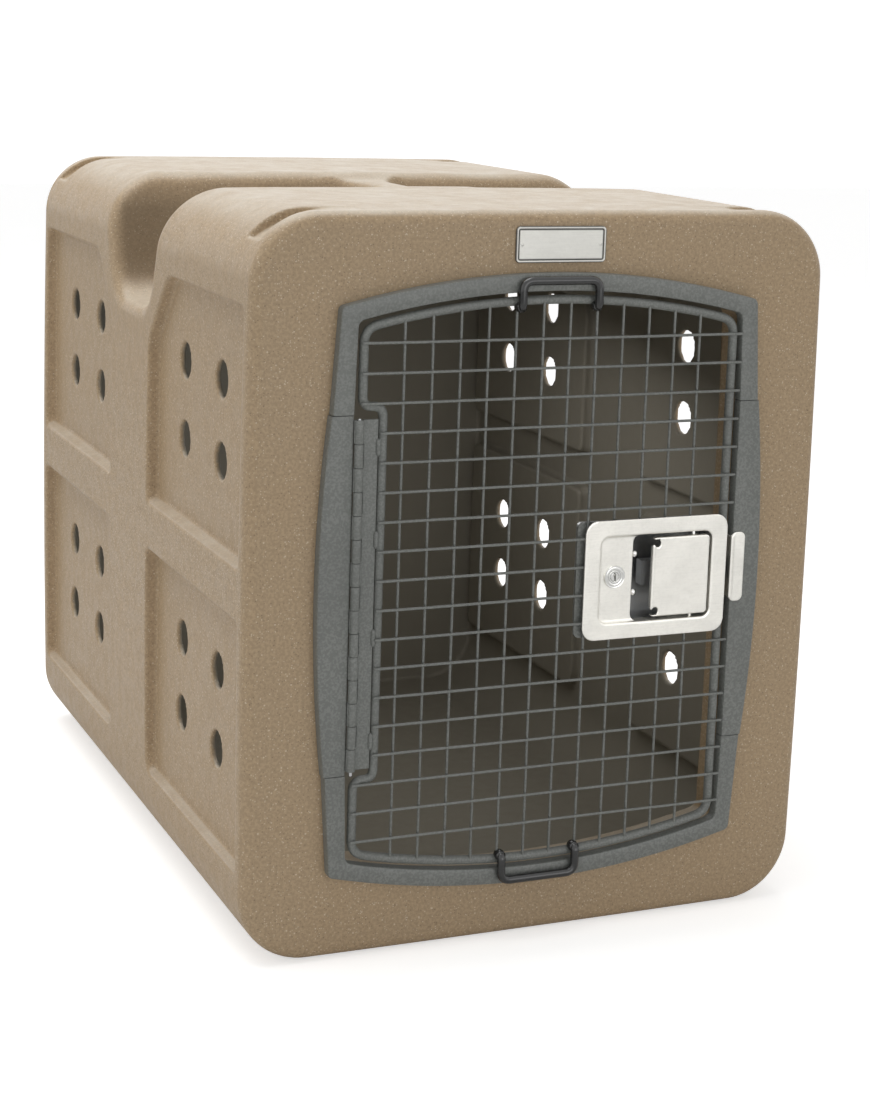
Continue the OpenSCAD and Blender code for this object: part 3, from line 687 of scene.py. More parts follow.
def vinyl_finish():
    """Glossy dipped coating of the stop loops."""
    if "dipped_vinyl" in bpy.data.materials:
        return bpy.data.materials["dipped_vinyl"]
    m, t, p = finish_base("dipped_vinyl")
    co = node(t, "ShaderNodeTexCoord").outputs["Object"]
    runs = cloud(t, co, 90.0, 2.0)
    dull = cloud(t, co, 300.0, 3.0)
    t.links.new(mixed(t, ramp(t, dull, 0.4, 0.7, 0.0, 0.5), tuple(colours().vinyl), (0.03, 0.03, 0.029)),
                p.inputs["Base Color"])
    t.links.new(ramp(t, dull, 0.3, 0.7, 0.13, 0.24), p.inputs["Roughness"])
    p.inputs["Coat Weight"].default_value = 0.5
    p.inputs["Coat Roughness"].default_value = 0.08
    raised(t, p, runs, 0.25, 0.0008)
    return m


def badge_finish():
    """Pale satin face with a thin dark line a little inside its edge."""
    if "badge_face" in bpy.data.materials:
        return bpy.data.materials["badge_face"]
    m, t, p = finish_base("badge_face")
    g = place(t, brushed_effect(), Color=(0.80, 0.79, 0.74), Along=(60.0, 900.0, 900.0))
    line = node(t, "ShaderNodeAttribute", attribute_name="border")
    face = mixed(t, line.outputs["Fac"], g.outputs["Color"], (0.035, 0.033, 0.03))
    t.links.new(face, p.inputs["Base Color"])
    t.links.new(ramp(t, g.outputs["Gloss"], 0.0, 1.0, 0.38, 0.50), p.inputs["Roughness"])
    p.inputs["Metallic"].default_value = 0.35
    raised(t, p, g.outputs["Height"], 0.08, 0.0002)
    return m


# ---------- the moulded body ----------

def door_arc():
    """Radius and centre height of the doorway's arched edges, from the frame's own box."""
    outer_r = (FRAME_HALF ** 2 + ARCH_RISE ** 2) / (2 * ARCH_RISE)
    return outer_r, APEX - outer_r


def doorway(x, z, grow):
    """Outline of the doorway in front view, with z from the door's middle."""
    r, c = door_arc()
    r_in = r - sizes().bar + grow
    ax, az = np.abs(x), np.abs(z)
    arc = np.hypot(ax, az - c) - r_in
    post = ax - POST_IN - grow
    lean = post + np.maximum(az - SEAM, 0) * (POST_IN - LEG_IN) / (APEX - SEAM)
    return smooth_max(arc, np.maximum(post, lean), 0.006)


def vent_holes(y, z):
    """Distance to the nearest vent's edge, in side view."""
    nearest = None
    for zc, end, a, b in product(VENT_ROWS, (-1, 1), (-1, 1), (-1, 1)):
        one = np.hypot(y - MID_Y - end * VENT_MID - a * VENT_DY, z - zc - b * VENT_DZ)
        nearest = one if nearest is None else np.minimum(nearest, one)
    return nearest - sizes().vent / 2


def outside_form(x, y, z):
    """The carrier's outside: a rounded block with panels, a channel, a handle and strap slots."""
    s = sizes()
    ax = np.abs(x)
    half_l = (REAR - FRONT) / 2
    yy = y - MID_Y
    flat = rounded_rect(ax + 0.0032 * (z / HALF_H) ** 2, np.abs(z) + 0.0012 * (x / HALF_W) ** 2,
                        HALF_W, HALF_H, s.corner)
    d = extruded(flat, np.abs(yy) - half_l, s.edge)

    # four panels a side; the upper ones have a corner cut off beside the channel
    floor_x = HALF_W - s.panel_depth
    rail, top = 0.026, HALF_H - 0.082
    for up, end in product((1, -1), (1, -1)):
        cut = 0.058 if up > 0 else 0.004
        corners = [(RIB, rail), (PANEL_END, rail), (PANEL_END, top), (RIB + cut, top), (RIB, top - cut * 1.1)]
        panel = convex(end * yy, up * z, corners, 0.010)
        lean = panel - np.clip(ax - floor_x, 0, 0.02) * 0.30
        d = smooth_max(d, -smooth_max(lean, floor_x - ax, 0.0034), 0.0026)

    # the channel across the top, deeper where it leaves the sides
    low, high, over = 0.062, 0.092, 0.05
    cuts = []
    for deep in (s.channel_mid, s.channel_side):
        wide = low + (high - low) * (deep + over) / deep
        cuts.append(convex(yy, z, [(-low, HALF_H - deep), (low, HALF_H - deep), (wide, HALF_H + over),
                                   (-wide, HALF_H + over)], 0.040))
    at_sides = smooth_max(cuts[1], HALF_W - 0.078 - ax, 0.040)
    d = smooth_max(d, -smooth_min(cuts[0], at_sides, 0.020), 0.014)

    # the handle bridge, flared into both lobes
    flare = 0.022 * np.exp(-np.maximum(high - np.abs(yy), 0) / 0.014)
    bar = rounded_rect(x, z - (HALF_H - 0.006 - 0.013), 0.018 + flare, 0.013, 0.009)
    bar = smooth_max(bar, np.abs(yy) - high - 0.020, 0.004)
    d = smooth_min(d, bar, 0.012)

    # strap slots over the four upper corners
    cx, cz = HALF_W - s.corner, HALF_H - s.corner
    start, seat_r = cx - 0.046, 0.153
    seat = smooth_max(seat_r - np.hypot(ax - start, z - (HALF_H - seat_r)), start - ax, 0.002)
    foot = math.radians(38)
    stop = (ax - cx) * math.sin(foot) - (z - cz) * math.cos(foot)
    seat = smooth_max(seat, stop, 0.003)
    for yc in (FRONT + 0.037, REAR - 0.037):
        slot = smooth_max(seat, np.abs(y - yc) - 0.0155, 0.003)
        d = smooth_max(d, -slot, 0.0030)
    return d


def shell_form(x, y, z_up):
    """The hollow moulding, with its doorway, sleeve, vents and the bolt's pocket."""
    z = z_up - MID_Z
    out = outside_form(x, y, z)
    yy = np.abs(y - MID_Y)
    hollow = np.maximum(out + sizes().wall, np.maximum(FRONT + 0.007 - y, y - REAR + 0.007))
    solid_top = np.maximum(yy - 0.080, HALF_H - 0.050 - z)
    hollow = np.maximum(hollow, -solid_top)
    d = np.maximum(out, -hollow)
    hole = doorway(x, z, 0.0)
    sleeve = smooth_max(smooth_max(-hole, hole - 0.0055, 0.0012),
                        np.maximum(FRONT + 0.003 - y, y - FRONT - 0.030), 0.0018)
    d = smooth_min(d, sleeve, 0.004)
    d = smooth_max(d, -np.maximum(hole, y - FRONT - 0.045), 0.003)
    vents = np.maximum(vent_holes(y, z), 0.16 - np.abs(x))
    d = smooth_max(d, -vents, 0.0022)
    pocket = np.maximum(np.maximum(np.abs(x - 0.1875) - 0.0055, np.abs(z) - 0.013),
                        np.abs(y - (BOLT_LO.y + BOLT_HI.y) / 2) - 0.0065)
    return np.maximum(d, -pocket)


class CARRIER_OT_body(Operator):
    """Moulds the hollow body with its panels, vents, channel, handle and strap slots"""
    bl_idname = "carrier.body"
    bl_label = "Moulded body"

    def execute(self, context):
        fine = sizes().fine * 1.0
        pad = 0.004
        # fine where walls, edges and vents are, coarse on the plain faces between them
        gx = ticks(-HALF_W - pad, HALF_W + pad, 0.0085, fine,
                   [(-0.3, -0.136), (-0.052, 0.052), (0.136, 0.3)])
        along = [(FRONT - pad, FRONT + 0.058), (REAR - 0.058, REAR + pad),
                 (MID_Y - 0.138, MID_Y - 0.052), (MID_Y + 0.052, MID_Y + 0.138)]
        for end, a in product((-1, 1), (-1, 1)):
            vent = MID_Y + end * VENT_MID + a * VENT_DY
            along.append((vent - 0.022, vent + 0.022))
        gy = ticks(FRONT - pad, REAR + pad, 0.0085, fine, along)
        upright = [(-pad, 0.062), (MID_Z - 0.036, MID_Z + 0.036), (MID_Z - 0.276, MID_Z - 0.226),
                   (MID_Z + 0.192, MID_Z + 0.33)]
        for zc, b in product(VENT_ROWS, (-1, 1)):
            vent = MID_Z + zc + b * VENT_DZ
            upright.append((vent - 0.021, vent + 0.021))
        gz = ticks(-pad, 2 * HALF_H + pad, 0.0085, fine, upright)
        ob = skin("moulded_body", shell_form, gx, gy, gz)

        # the inner faces, apart from the sleeve round the doorway, which get painted shade with a duller
        # interior tone
        x, y, z = read_vertices(ob.data, "co").T
        wall = sizes().wall
        deep = -outside_form(x, y, z - MID_Z)
        sleeve = (np.abs(doorway(x, z - MID_Z, 0.0)) < 0.0070) & (y < FRONT + 0.034)
        inner = np.clip((deep - wall * 0.45) / (wall * 0.35), 0, 1)
        keep_mask(ob.data, "inside", np.where(sleeve, 0.0, inner))

        # the channel's steep walls, which get painted shade
        steep = np.clip((np.abs(read_vertices(ob.data, "normal")[:, 1]) - 0.45) / 0.4, 0, 1)
        below = np.clip((2 * HALF_H - 0.006 - z) / 0.030, 0, 1) * (z > 2 * HALF_H - 0.135)
        within = np.clip((0.104 - np.abs(y - MID_Y)) / 0.010, 0, 1)
        ends = np.clip((HALF_W - 0.004 - np.abs(x)) / 0.014, 0, 1)
        keep_mask(ob.data, "channel", steep * below * within * ends)
        settle(ob, "carrier", "moulding", moulding_finish(), "body_shell")
        return {"FINISHED"}


class CARRIER_OT_badge(Operator):
    """Makes the blank plate above the doorway"""
    bl_idname = "carrier.badge"
    bl_label = "Blank plate"

    def execute(self, context):
        cx, cz = (BADGE_LO.x + BADGE_HI.x) / 2, (BADGE_LO.z + BADGE_HI.z) / 2
        hw, hh = (BADGE_HI.x - BADGE_LO.x) / 2, (BADGE_HI.z - BADGE_LO.z) / 2

        def form(x, y, z):
            """A thin plate with a raised rim and a small stud at each end."""
            flat = rounded_rect(x - cx, z - cz, hw, hh, 0.004)
            slab = extruded(flat, np.abs(y - FRONT + 0.0008) - 0.0008, 0.0005)
            rim = extruded(np.abs(flat + 0.0010) - 0.0010, np.abs(y - FRONT + 0.0012) - 0.0009, 0.0004)
            d = smooth_min(slab, rim, 0.0004)
            for s in (-1, 1):
                stud = np.sqrt((x - cx - s * (hw - 0.0055)) ** 2 + (z - cz) ** 2
                               + ((y - FRONT + 0.0012) * 1.6) ** 2) - 0.0016
                d = smooth_min(d, stud, 0.0003)
            return d

        g = 0.0006
        across = [(cx - hw - 0.001, cx - hw + 0.009), (cx + hw - 0.009, cx + hw + 0.001)]
        upright = [(cz - hh - 0.001, cz - hh + 0.006), (cz - 0.003, cz + 0.003),
                   (cz + hh - 0.006, cz + hh + 0.001)]
        ob = skin("blank_plate", form, ticks(cx - hw - 0.002, cx + hw + 0.002, 0.003, g, across),
                  ticks(FRONT - 0.0035, FRONT + 0.0015, g, g * 0.7, [(FRONT - 1, FRONT + 1)]),
                  ticks(cz - hh - 0.002, cz + hh + 0.002, 0.003, g, upright))
        x, _, z = read_vertices(ob.data, "co").T
        flat = rounded_rect(x - cx, z - cz, hw, hh, 0.004)
        line = np.clip(1 - (np.abs(flat + 0.0026) - 0.0004) / 0.0006, 0, 1)
        keep_mask(ob.data, "border", np.where(flat > -0.0005, 0.85, line))
        settle(ob, "carrier", "plate", badge_finish(), "nameplate")
        return {"FINISHED"}


# ---------- the door frame ----------

def arc_points(radius, centre, half):
    """Points along the top of a circle, from -half to half."""
    return [(x, centre + math.sqrt(radius * radius - x * x)) for x in np.linspace(-half, half, 61)]


def round_off(points, radii, n=7):
    """A line through points, with given bend radii at the inner ones."""
    out = [np.array(points[0], float)]
    for i in range(1, len(points) - 1):
        a, b, c = (np.array(points[j], float) for j in (i - 1, i, i + 1))
        r = radii[i]
        if r <= 0:
            out += [b] * n
            continue
        u, v = (a - b) / np.linalg.norm(a - b), (c - b) / np.linalg.norm(c - b)
        angle = math.acos(max(-1, min(1, float(u @ v))))
        t = r / math.tan(angle / 2)
        p, q = b + u * t, b + v * t
        for k in range(n):
            w = k / (n - 1)
            out.append(p * (1 - w) ** 2 + 2 * b * w * (1 - w) + q * w ** 2)
    out.append(np.array(points[-1], float))
    return out


def bar_between(inner, outer, y_back, y_front, bevel):
    """A flat bar between an inner and an outer line in front view, with softened front edges."""
    verts, faces = [], []
    for a, b in zip(inner, outer):
        a, b = np.array(a), np.array(b)
        w = (b - a) / np.linalg.norm(b - a)
        q = bevel * 0.3
        ring = [(a, y_back), (a, y_front + bevel), (a + w * q, y_front + q), (a + w * bevel, y_front),
                (b - w * bevel, y_front), (b - w * q, y_front + q), (b, y_front + bevel), (b, y_back)]
        verts += [(p[0], y, MID_Z + p[1]) for p, y in ring]
    k = 8
    for i in range(len(inner) - 1):
        for j in range(k):
            l = (j + 1) % k
            faces.append((i * k + j, (i + 1) * k + j, (i + 1) * k + l, i * k + l))
    faces.append(tuple(range(k)))
    faces.append(tuple((len(inner) - 1) * k + j for j in range(k - 1, -1, -1)))
    return verts, faces


def arch_line(leg, arc, bend):
    """One edge of an arched bar: up a leg, round a bend, over the arc and down the other side.

    leg gives the half width at the seam, then the half width and height at the corner.
    """
    at_seam, at_corner, height = leg
    turn = round_off([(-at_seam, SEAM), (-at_corner, height), arc[3]], [0, bend, 0], 9)[:-1]
    rise = [turn[0] + (turn[1] - turn[0]) * t for t in np.linspace(0, 1, 6)[:-1]] + turn[1:]
    return rise + [np.array(p) for p in arc[3:-3]] + [np.array((-p[0], p[1])) for p in reversed(rise)]


def lay_bar(name, cad, inner, outer, turn_over):
    """A coated bar of the frame between two lines, which stands for one CAD node."""
    v, f = bar_between(inner, outer, FRONT, POST_LO.y, 0.0022)
    if turn_over:
        f = [tuple(reversed(face)) for face in f]
    settle(soften(mesh_piece(name, v, f), 40), "carrier", "coat", coat_finish(), cad)


def soften(ob, angle=35):
    """Smooth shading with the folds sharper than an angle kept."""
    me = ob.data
    me.polygons.foreach_set("use_smooth", np.ones(len(me.polygons), bool))
    me.set_sharp_from_angle(angle=math.radians(angle))
    return ob


class CARRIER_OT_frame(Operator):
    """Makes the arched bars and bowed posts of the door frame, with their studs and nuts"""
    bl_idname = "carrier.frame"
    bl_label = "Door frame"

    def execute(self, context):
        r, c = door_arc()
        bar = sizes().bar
        post_w = FRAME_HALF + 0.0065
        top_out = arc_points(r, c, FRAME_HALF - 0.003)
        outer = arch_line((post_w - 0.001, FRAME_HALF - 0.0005, top_out[-1][1] - 0.0005), top_out, 0.006)
        top_in = arc_points(r - bar, c, LEG_IN)
        inner = arch_line((POST_IN - 0.0003, LEG_IN + 0.0002, top_in[0][1]), top_in, 0.008)
        for up, name, cad in ((1, "arch_top", "frame_top_arch"), (-1, "arch_bottom", "frame_bottom_arch")):
            lay_bar(name, cad, [np.array((x, up * z)) for x, z in inner],
                    [np.array((x, up * z)) for x, z in outer], up > 0)
        heights = np.linspace(-SEAM + 0.0006, SEAM - 0.0006, 41)
        bow = 0.009
        for side, name, cad in ((-1, "post_left", "frame_left_post"), (1, "post_right", "frame_right_post")):
            lay_bar(name, cad, [np.array((side * POST_IN, z)) for z in heights],
                    [np.array((side * (post_w + bow * (1 - (z / SEAM) ** 2)), z)) for z in heights], side > 0)

        # studs and nuts behind the front wall
        parts = []
        inset = 0.0052
        spots = [(s * (POST_IN + bar - inset), j * SEAM * 0.75) for s in (-1, 1) for j in (-1, 0, 1)]
        for j, a in product((-1, 1), (-7, 7)):
            t = math.radians(a)
            spots.append(((r - inset) * math.sin(t), j * (c + (r - inset) * math.cos(t))))
        for x, z in spots:
            base = (x, FRONT + 0.0072, MID_Z + z)
            parts.append(turned([(0.0030, 0), (0.0039, 0.0006), (0.0039, 0.0028), (0.0031, 0.0034)],
                                base, (0, 1, 0), 6))
            parts.append(turned([(0.0019, 0.003), (0.00195, 0.0048), (0.0014, 0.0056)], base, (0, 1, 0), 16))
        v, f = joined(parts)
        ob = soften(mesh_piece("studs_and_nuts", v, f), 30)
        settle(ob, "carrier", "zinc", zinc_finish(), "frame_nuts")
        return {"FINISHED"}


# ---------- the door ----------

def rim_arc():
    """Radius and centre height of the rim's arched rods."""
    c = door_arc()[1]
    return RIM_APEX - c, c


def divided(points, gap, closed=False):
    """A line whose long stretches are divided into steps of about gap."""
    p = [np.array(q) for q in points]
    out = []
    for a, b in zip(p, p[1:] + p[:1] if closed else p[1:]):
        length = np.linalg.norm(b - a)
        if length < 1e-6:
            continue
        n = max(1, int(length / gap))
        out += [a + (b - a) * k / n for k in range(n)]
    return out if closed else out + [p[-1]]


def rim_path():
    """The door rim's closed line, with its step round the hinge at the left."""
    r, c = rim_arc()
    half = (LEAF_HI.z - LEAF_LO.z) / 2 + 0.001
    corner = 0.016
    step = (RIM_X + JOG_X) / 2

    def on_arc(x):
        return x, c + math.sqrt(r * r - x * x)

    left = round_off([(JOG_X, 0), (JOG_X, half + step), (-RIM_X, half + step), on_arc(-RIM_X),
                      on_arc(-RIM_X * 0.8)], [0, step * 0.98, step * 0.98, corner, 0], 12)[:-1]
    arch = [np.array(on_arc(x)) for x in np.linspace(-RIM_X * 0.88, RIM_X * 0.88, 50)]
    right = round_off([on_arc(RIM_X * 0.8), on_arc(RIM_X), (RIM_X, 0)], [0, corner, 0], 12)[1:]
    upper = left + arch + right
    lower = [np.array((p[0], -p[1])) for p in reversed(upper[1:-1])]
    return [(p[0], RIM_Y, MID_Z + p[1]) for p in divided(upper + lower, 0.020, closed=True)]


class CARRIER_OT_door(Operator):
    """Bends the door's rim, lays its welded mesh and makes the two dipped stop loops"""
    bl_idname = "carrier.door"
    bl_label = "Wire door"

    def execute(self, context):
        s = sizes()
        ob = mesh_piece("door_rim_rod", *swept(rim_path(), ROD, 16, closed=True))
        settle(ob, "door", "coat", coat_finish(), "door_rim")

        r, c = rim_arc()
        wr = s.wire / 2
        jog_half = (LEAF_HI.z - LEAF_LO.z) / 2
        y_up = (VERT_LO.y + VERT_HI.y) / 2
        y_level = (LEVEL_LO.y + LEVEL_HI.y) / 2
        rng = np.random.default_rng(7)
        columns = [(i + 0.5) * s.pitch for i in range(-6, 6)]
        rows = [(j + 0.5) * s.pitch for j in range(-9, 9)]
        weld = [(0.0002, -0.0016), (0.0012, -0.0010), (0.00155, 0), (0.0012, 0.0010), (0.0002, 0.0016)]
        parts, drops = [], []
        for x in columns:
            t = c + math.sqrt((r - ROD + 0.0015) ** 2 - x * x)
            spans = [(-t, t)] if x < LATCH_LEFT else [(-t, -LATCH_HALF + 0.004), (LATCH_HALF - 0.004, t)]
            for z0, z1 in spans:
                off = rng.uniform(-0.0002, 0.0002)
                n = max(4, int((z1 - z0) / 0.05))
                parts.append(swept([(x + off * math.sin(k * 2.1), y_up, MID_Z + z)
                                    for k, z in enumerate(np.linspace(z0, z1, n))], wr, 10))
        ob_up = mesh_piece("upright_wires", *joined(parts))
        settle(ob_up, "door", "coat", coat_finish(), "mesh_vertical_wires")
        parts = []
        for z in rows:
            x0 = JOG_X - 0.003 if abs(z) < jog_half + 0.003 else -RIM_X - 0.002
            x1 = LATCH_LEFT + 0.004 if abs(z) < LATCH_HALF else RIM_X + 0.0062
            off = rng.uniform(-0.0002, 0.0002)
            n = max(4, int((x1 - x0) / 0.04))
            parts.append(swept([(x, y_level, MID_Z + z + off * math.sin(k * 1.7))
                                for k, x in enumerate(np.linspace(x0, x1, n))], wr, 10))
            # small weld spread at each crossing
            for x in columns:
                at_latch = x > LATCH_LEFT and abs(z) < LATCH_HALF
                if x0 < x < x1 and abs(z) < c + math.sqrt((r - ROD) ** 2 - x * x) and not at_latch:
                    drops.append(turned(weld, (x, (y_up + y_level) / 2, MID_Z + z), (0, 1, 0), 8))
        ob_lv = mesh_piece("level_wires", *joined(parts + drops))
        settle(ob_lv, "door", "coat", coat_finish(), "mesh_horizontal_wires")

        # stop loops: a dipped rod bent into a U, welded to the rim at both feet
        loop_y = LOOP_LO.y + 0.004
        far, foot = LOOP_HI.z - MID_Z - 0.004, RIM_APEX - 0.004
        line = [(-LOOP_HALF, RIM_Y - 0.003, foot - 0.002), (-LOOP_HALF, loop_y, foot - 0.002),
                (-LOOP_HALF, loop_y, far)]
        line += [(-x, y, z) for x, y, z in reversed(line)]
        rod = divided(round_off(line, [0, 0.0045, 0.009, 0.009, 0.0045, 0], 9), 0.008)
        bead = [(0.0012, -0.0066), (0.0042, -0.0052), (0.0049, -0.0015), (0.0046, 0.002), (0.0030, 0.0045)]
        for up, name, cad in ((1, "stop_loop_top", "top_stop_loop"),
                              (-1, "stop_loop_bottom", "bottom_stop_loop")):
            parts = [swept([(x, y, MID_Z + up * z) for x, y, z in rod], 0.0038, 18)]
            for side in (-1, 1):
                at = (side * LOOP_HALF, RIM_Y - 0.0035, MID_Z + up * (foot - 0.0015))
                parts.append(turned(bead, at, (0, 1, 0), 18))
            settle(mesh_piece(name, *joined(parts)), "door", "vinyl", vinyl_finish(), cad)
        return {"FINISHED"}


def sheet(x0, x1, y0, y1, z0, z1):
    """Points and faces of a small upright plate with bevelled edges."""
    bev = 0.0004
    cx, cy = (x0 + x1) / 2, (y0 + y1) / 2
    hx, hy = abs(x1 - x0) / 2, abs(y1 - y0) / 2
    ring = [(-hx + bev, -hy), (hx - bev, -hy), (hx, -hy + bev), (hx, hy - bev), (hx - bev, hy),
            (-hx + bev, hy), (-hx, hy - bev), (-hx, -hy + bev)]
    verts, faces = [], []
    for z, cut in ((z0, bev), (z0 + bev, 0), (z1 - bev, 0), (z1, bev)):
        verts += [(cx + u * (1 - cut / hx), cy + v * (1 - cut / hy), z) for u, v in ring]
    for i, j in product(range(3), range(8)):
        k = (j + 1) % 8
        faces.append((i * 8 + j, i * 8 + k, (i + 1) * 8 + k, (i + 1) * 8 + j))
    faces.append(tuple(range(7, -1, -1)))
    faces.append(tuple(range(24, 32)))
    return verts, faces


class CARRIER_OT_hinge(Operator):
    """Rolls the long hinge's knuckles and leaves, and its pin"""
    bl_idname = "carrier.hinge"
    bl_label = "Hinge"

    def execute(self, context):
        length = PIN_HI.z - PIN_LO.z - 0.004
        count, play, bev, kr = 15, 0.00015, 0.0005, KNUCKLE_R
        pitch = length / count
        z0 = MID_Z - length / 2
        spans = [(z0 + k * pitch + play, z0 + (k + 1) * pitch - play) for k in range(count)]
        knuckles = []
        for a, b in spans:
            ring = [(0.0017, 0), (kr - bev, 0), (kr - 0.0001, bev * 0.4), (kr, bev), (kr, b - a - bev),
                    (kr - 0.0001, b - a - bev * 0.4), (kr - bev, b - a), (0.0017, b - a)]
            knuckles.append(turned(ring, (HINGE.x, HINGE.y, a), (0, 0, 1), 28))

        # every other knuckle is on the frame's leaf, the rest are on the door's
        parts = knuckles[0::2]
        for a, b in spans[0::2]:
            parts.append(sheet(-POST_IN, -POST_IN + LEAF_T, HINGE.y - 0.0005, HINGE.y + 0.006, a, b))
        parts.append(sheet(-POST_IN, -POST_IN + LEAF_T, HINGE.y + 0.0046, LEAF_HI.y, LEAF_LO.z, LEAF_HI.z))
        ob = soften(mesh_piece("hinge_leaf_frame", *joined(parts)))
        settle(ob, "carrier", "coat", coat_finish(), "hinge_frame_leaf")

        parts = knuckles[1::2]
        y1 = HINGE.y + kr
        x1 = HINGE.x + kr + LEAF_WIDE
        for a, b in spans[1::2]:
            parts.append(sheet(HINGE.x, HINGE.x + kr + 0.002, y1 - LEAF_T, y1, a, b))
        parts.append(sheet(HINGE.x + kr + 0.0003, x1, y1 - LEAF_T, y1, z0 + 0.0002, z0 + length - 0.0002))
        bead = [(0.0004, -0.0078), (0.0014, -0.0070), (0.0021, -0.0052), (0.0024, -0.0020), (0.0022, 0.0015),
                (0.0024, 0.0045), (0.0017, 0.0068), (0.0005, 0.0077)]
        for share in (-0.42, -0.12, 0.16, 0.42):
            at = (x1 + 0.0002, y1 - LEAF_T * 0.8, MID_Z + share * length)
            parts.append(turned(bead, at, (0, 0, 1), 12))
        ob = soften(mesh_piece("hinge_leaf_door", *joined(parts)))
        settle(ob, "door", "coat", coat_finish(), "hinge_door_leaf")

        pin = turned([(0.0006, -0.0042), (0.0015, -0.0036), (0.0016, -0.0030), (0.0016, length + 0.0006),
                      (0.0012, length + 0.0010)], (HINGE.x, HINGE.y, z0), (0, 0, 1), 20)
        ob = soften(mesh_piece("hinge_wire_pin", *pin))
        settle(ob, "carrier", "zinc", zinc_finish(), "hinge_pin")
        return {"FINISHED"}


# ---------- the latch ----------

class CARRIER_OT_latch(Operator):
    """Presses the latch pan, folds the paddle and the strike, and turns the lock"""
    bl_idname = "carrier.latch"
    bl_label = "Paddle latch"

    def execute(self, context):
        px, face, pz = PLATE.x, PLATE.y, PLATE.z
        hw, hh = (PAN_HI.x - PAN_LO.x) / 2, (PAN_HI.z - PAN_LO.z) / 2
        deep = PAN_HI.y - face - 0.002
        steel = steel_finish()

        def pan(x, y, z):
            """A rimmed dish with a deep well at its right, cut for the bolt and the lock."""
            u, v, d = x - px, z - pz, y - face
            rim = extruded(rounded_rect(u, v, hw, hh, 0.012), np.abs(d - 0.001) - 0.001, 0.0007)
            box = extruded(rounded_rect(u, v, 0.057, 0.041, 0.009), np.abs(d - 0.0065) - 0.0055, 0.0015)
            solid = smooth_min(rim, box, 0.002)
            ledge = smooth_max(rounded_rect(u, v, 0.0548, 0.0388, 0.0075), d - 0.0034, 0.0022)
            well = smooth_max(rounded_rect(u - 0.0165, v, 0.0385, 0.0388, 0.0065), d - deep, 0.0035)
            hollow = smooth_min(ledge, well, 0.0012)
            out = smooth_max(solid, -hollow, 0.0028)
            slot = np.maximum(np.abs(u - (PIVOT.x - px) + 0.005) - 0.011, np.abs(v) - 0.009)
            slot = np.maximum(slot, 0.004 - d)
            hole = np.maximum(np.hypot(u - (LOCK.x - px), v - (LOCK.z - pz)) - 0.0085, -d)
            return np.maximum(np.maximum(out, -slot), -hole)

        g = 0.0011
        ob = skin("latch_pan_pressed", pan,
                  ticks(PAN_LO.x - 0.002, PAN_HI.x + 0.002, 0.003, g,
                        [(PAN_LO.x - 0.002, PAN_LO.x + 0.024), (px - 0.028, px - 0.014),
                         (px + 0.028, PAN_HI.x + 0.002), (LOCK.x - 0.012, LOCK.x + 0.012)]),
                  ticks(face - 0.0015, PAN_HI.y + 0.0015, g, g * 0.6, [(face - 0.002, face + 0.006)]),
                  ticks(PAN_LO.z - 0.002, PAN_HI.z + 0.002, 0.003, g,
                        [(PAN_LO.z - 0.002, PAN_LO.z + 0.024), (pz - 0.012, pz + 0.012),
                         (PAN_HI.z - 0.024, PAN_HI.z + 0.002)]))
        settle(ob, "door", "stainless", steel, "latch_pan")

        wl, wh = PADDLE_LO.x, PADDLE_HI.x
        pcx, phw = (wl + wh) / 2, (wh - wl) / 2
        phh = (PADDLE_HI.z - PADDLE_LO.z) / 2
        front = PADDLE_LO.y

        def paddle(x, y, z):
            """A cap: a face with flanges folded back at its top, bottom and hinge side."""
            u, v, d = x - pcx, z - pz, y - front
            cap = extruded(rounded_rect(u, v, phw, phh, 0.0035), np.abs(d - 0.0029) - 0.0029, 0.0013)
            inner = np.maximum(rounded_rect(u + 0.003, v, phw, phh - 0.0016, 0.003), 0.0017 - d)
            shell = smooth_max(cap, -inner, 0.0006)
            for s in (-1, 1):
                w = s * v - phh
                bite = np.maximum(np.maximum(-w - 0.0062, w + 0.0016), u + phw - 0.0065)
                notch = np.maximum(np.hypot(u + phw - 0.0045, w + 0.0055) - 0.0030, w + 0.0016)
                shell = smooth_max(shell, -smooth_min(bite, notch, 0.001), 0.0008)
            # the face's free edge is turned back a little
            lip = extruded(rounded_rect(u + phw - 0.0010, v, 0.0010, phh - 0.0075, 0.0009),
                           np.abs(d - 0.0026) - 0.0024, 0.0007)
            d0 = smooth_min(shell, lip, 0.001)
            ear = None
            for s in (-1, 1):
                one = np.maximum(np.hypot(x - PIVOT.x, y - PIVOT.y) - 0.0038,
                                 np.abs(s * v - phh + 0.0008) - 0.0008)
                ear = one if ear is None else np.minimum(ear, one)
            finger = np.maximum(np.maximum(np.abs(x - PIVOT.x) - 0.002, np.abs(v) - 0.006),
                                np.maximum(0.001 - d, y - PADDLE_HI.y))
            return smooth_min(smooth_min(d0, ear, 0.001), finger, 0.0015)

        g = 0.0010
        ob = skin("paddle_cap", paddle,
                  ticks(wl - 0.002, wh + 0.002, 0.003, g,
                        [(wl - 0.002, wl + 0.010), (wh - 0.022, wh + 0.002)]),
                  ticks(front - 0.0015, PADDLE_HI.y + 0.0015, 0.0018, g * 0.6,
                        [(front - 0.002, front + 0.012)]),
                  ticks(pz - phh - 0.002, pz + phh + 0.002, 0.003, g,
                        [(pz - phh - 0.002, pz - phh + 0.009), (pz - 0.009, pz + 0.009),
                         (pz + phh - 0.009, pz + phh + 0.002)]))
        settle(ob, "paddle", "stainless", steel, "latch_paddle")

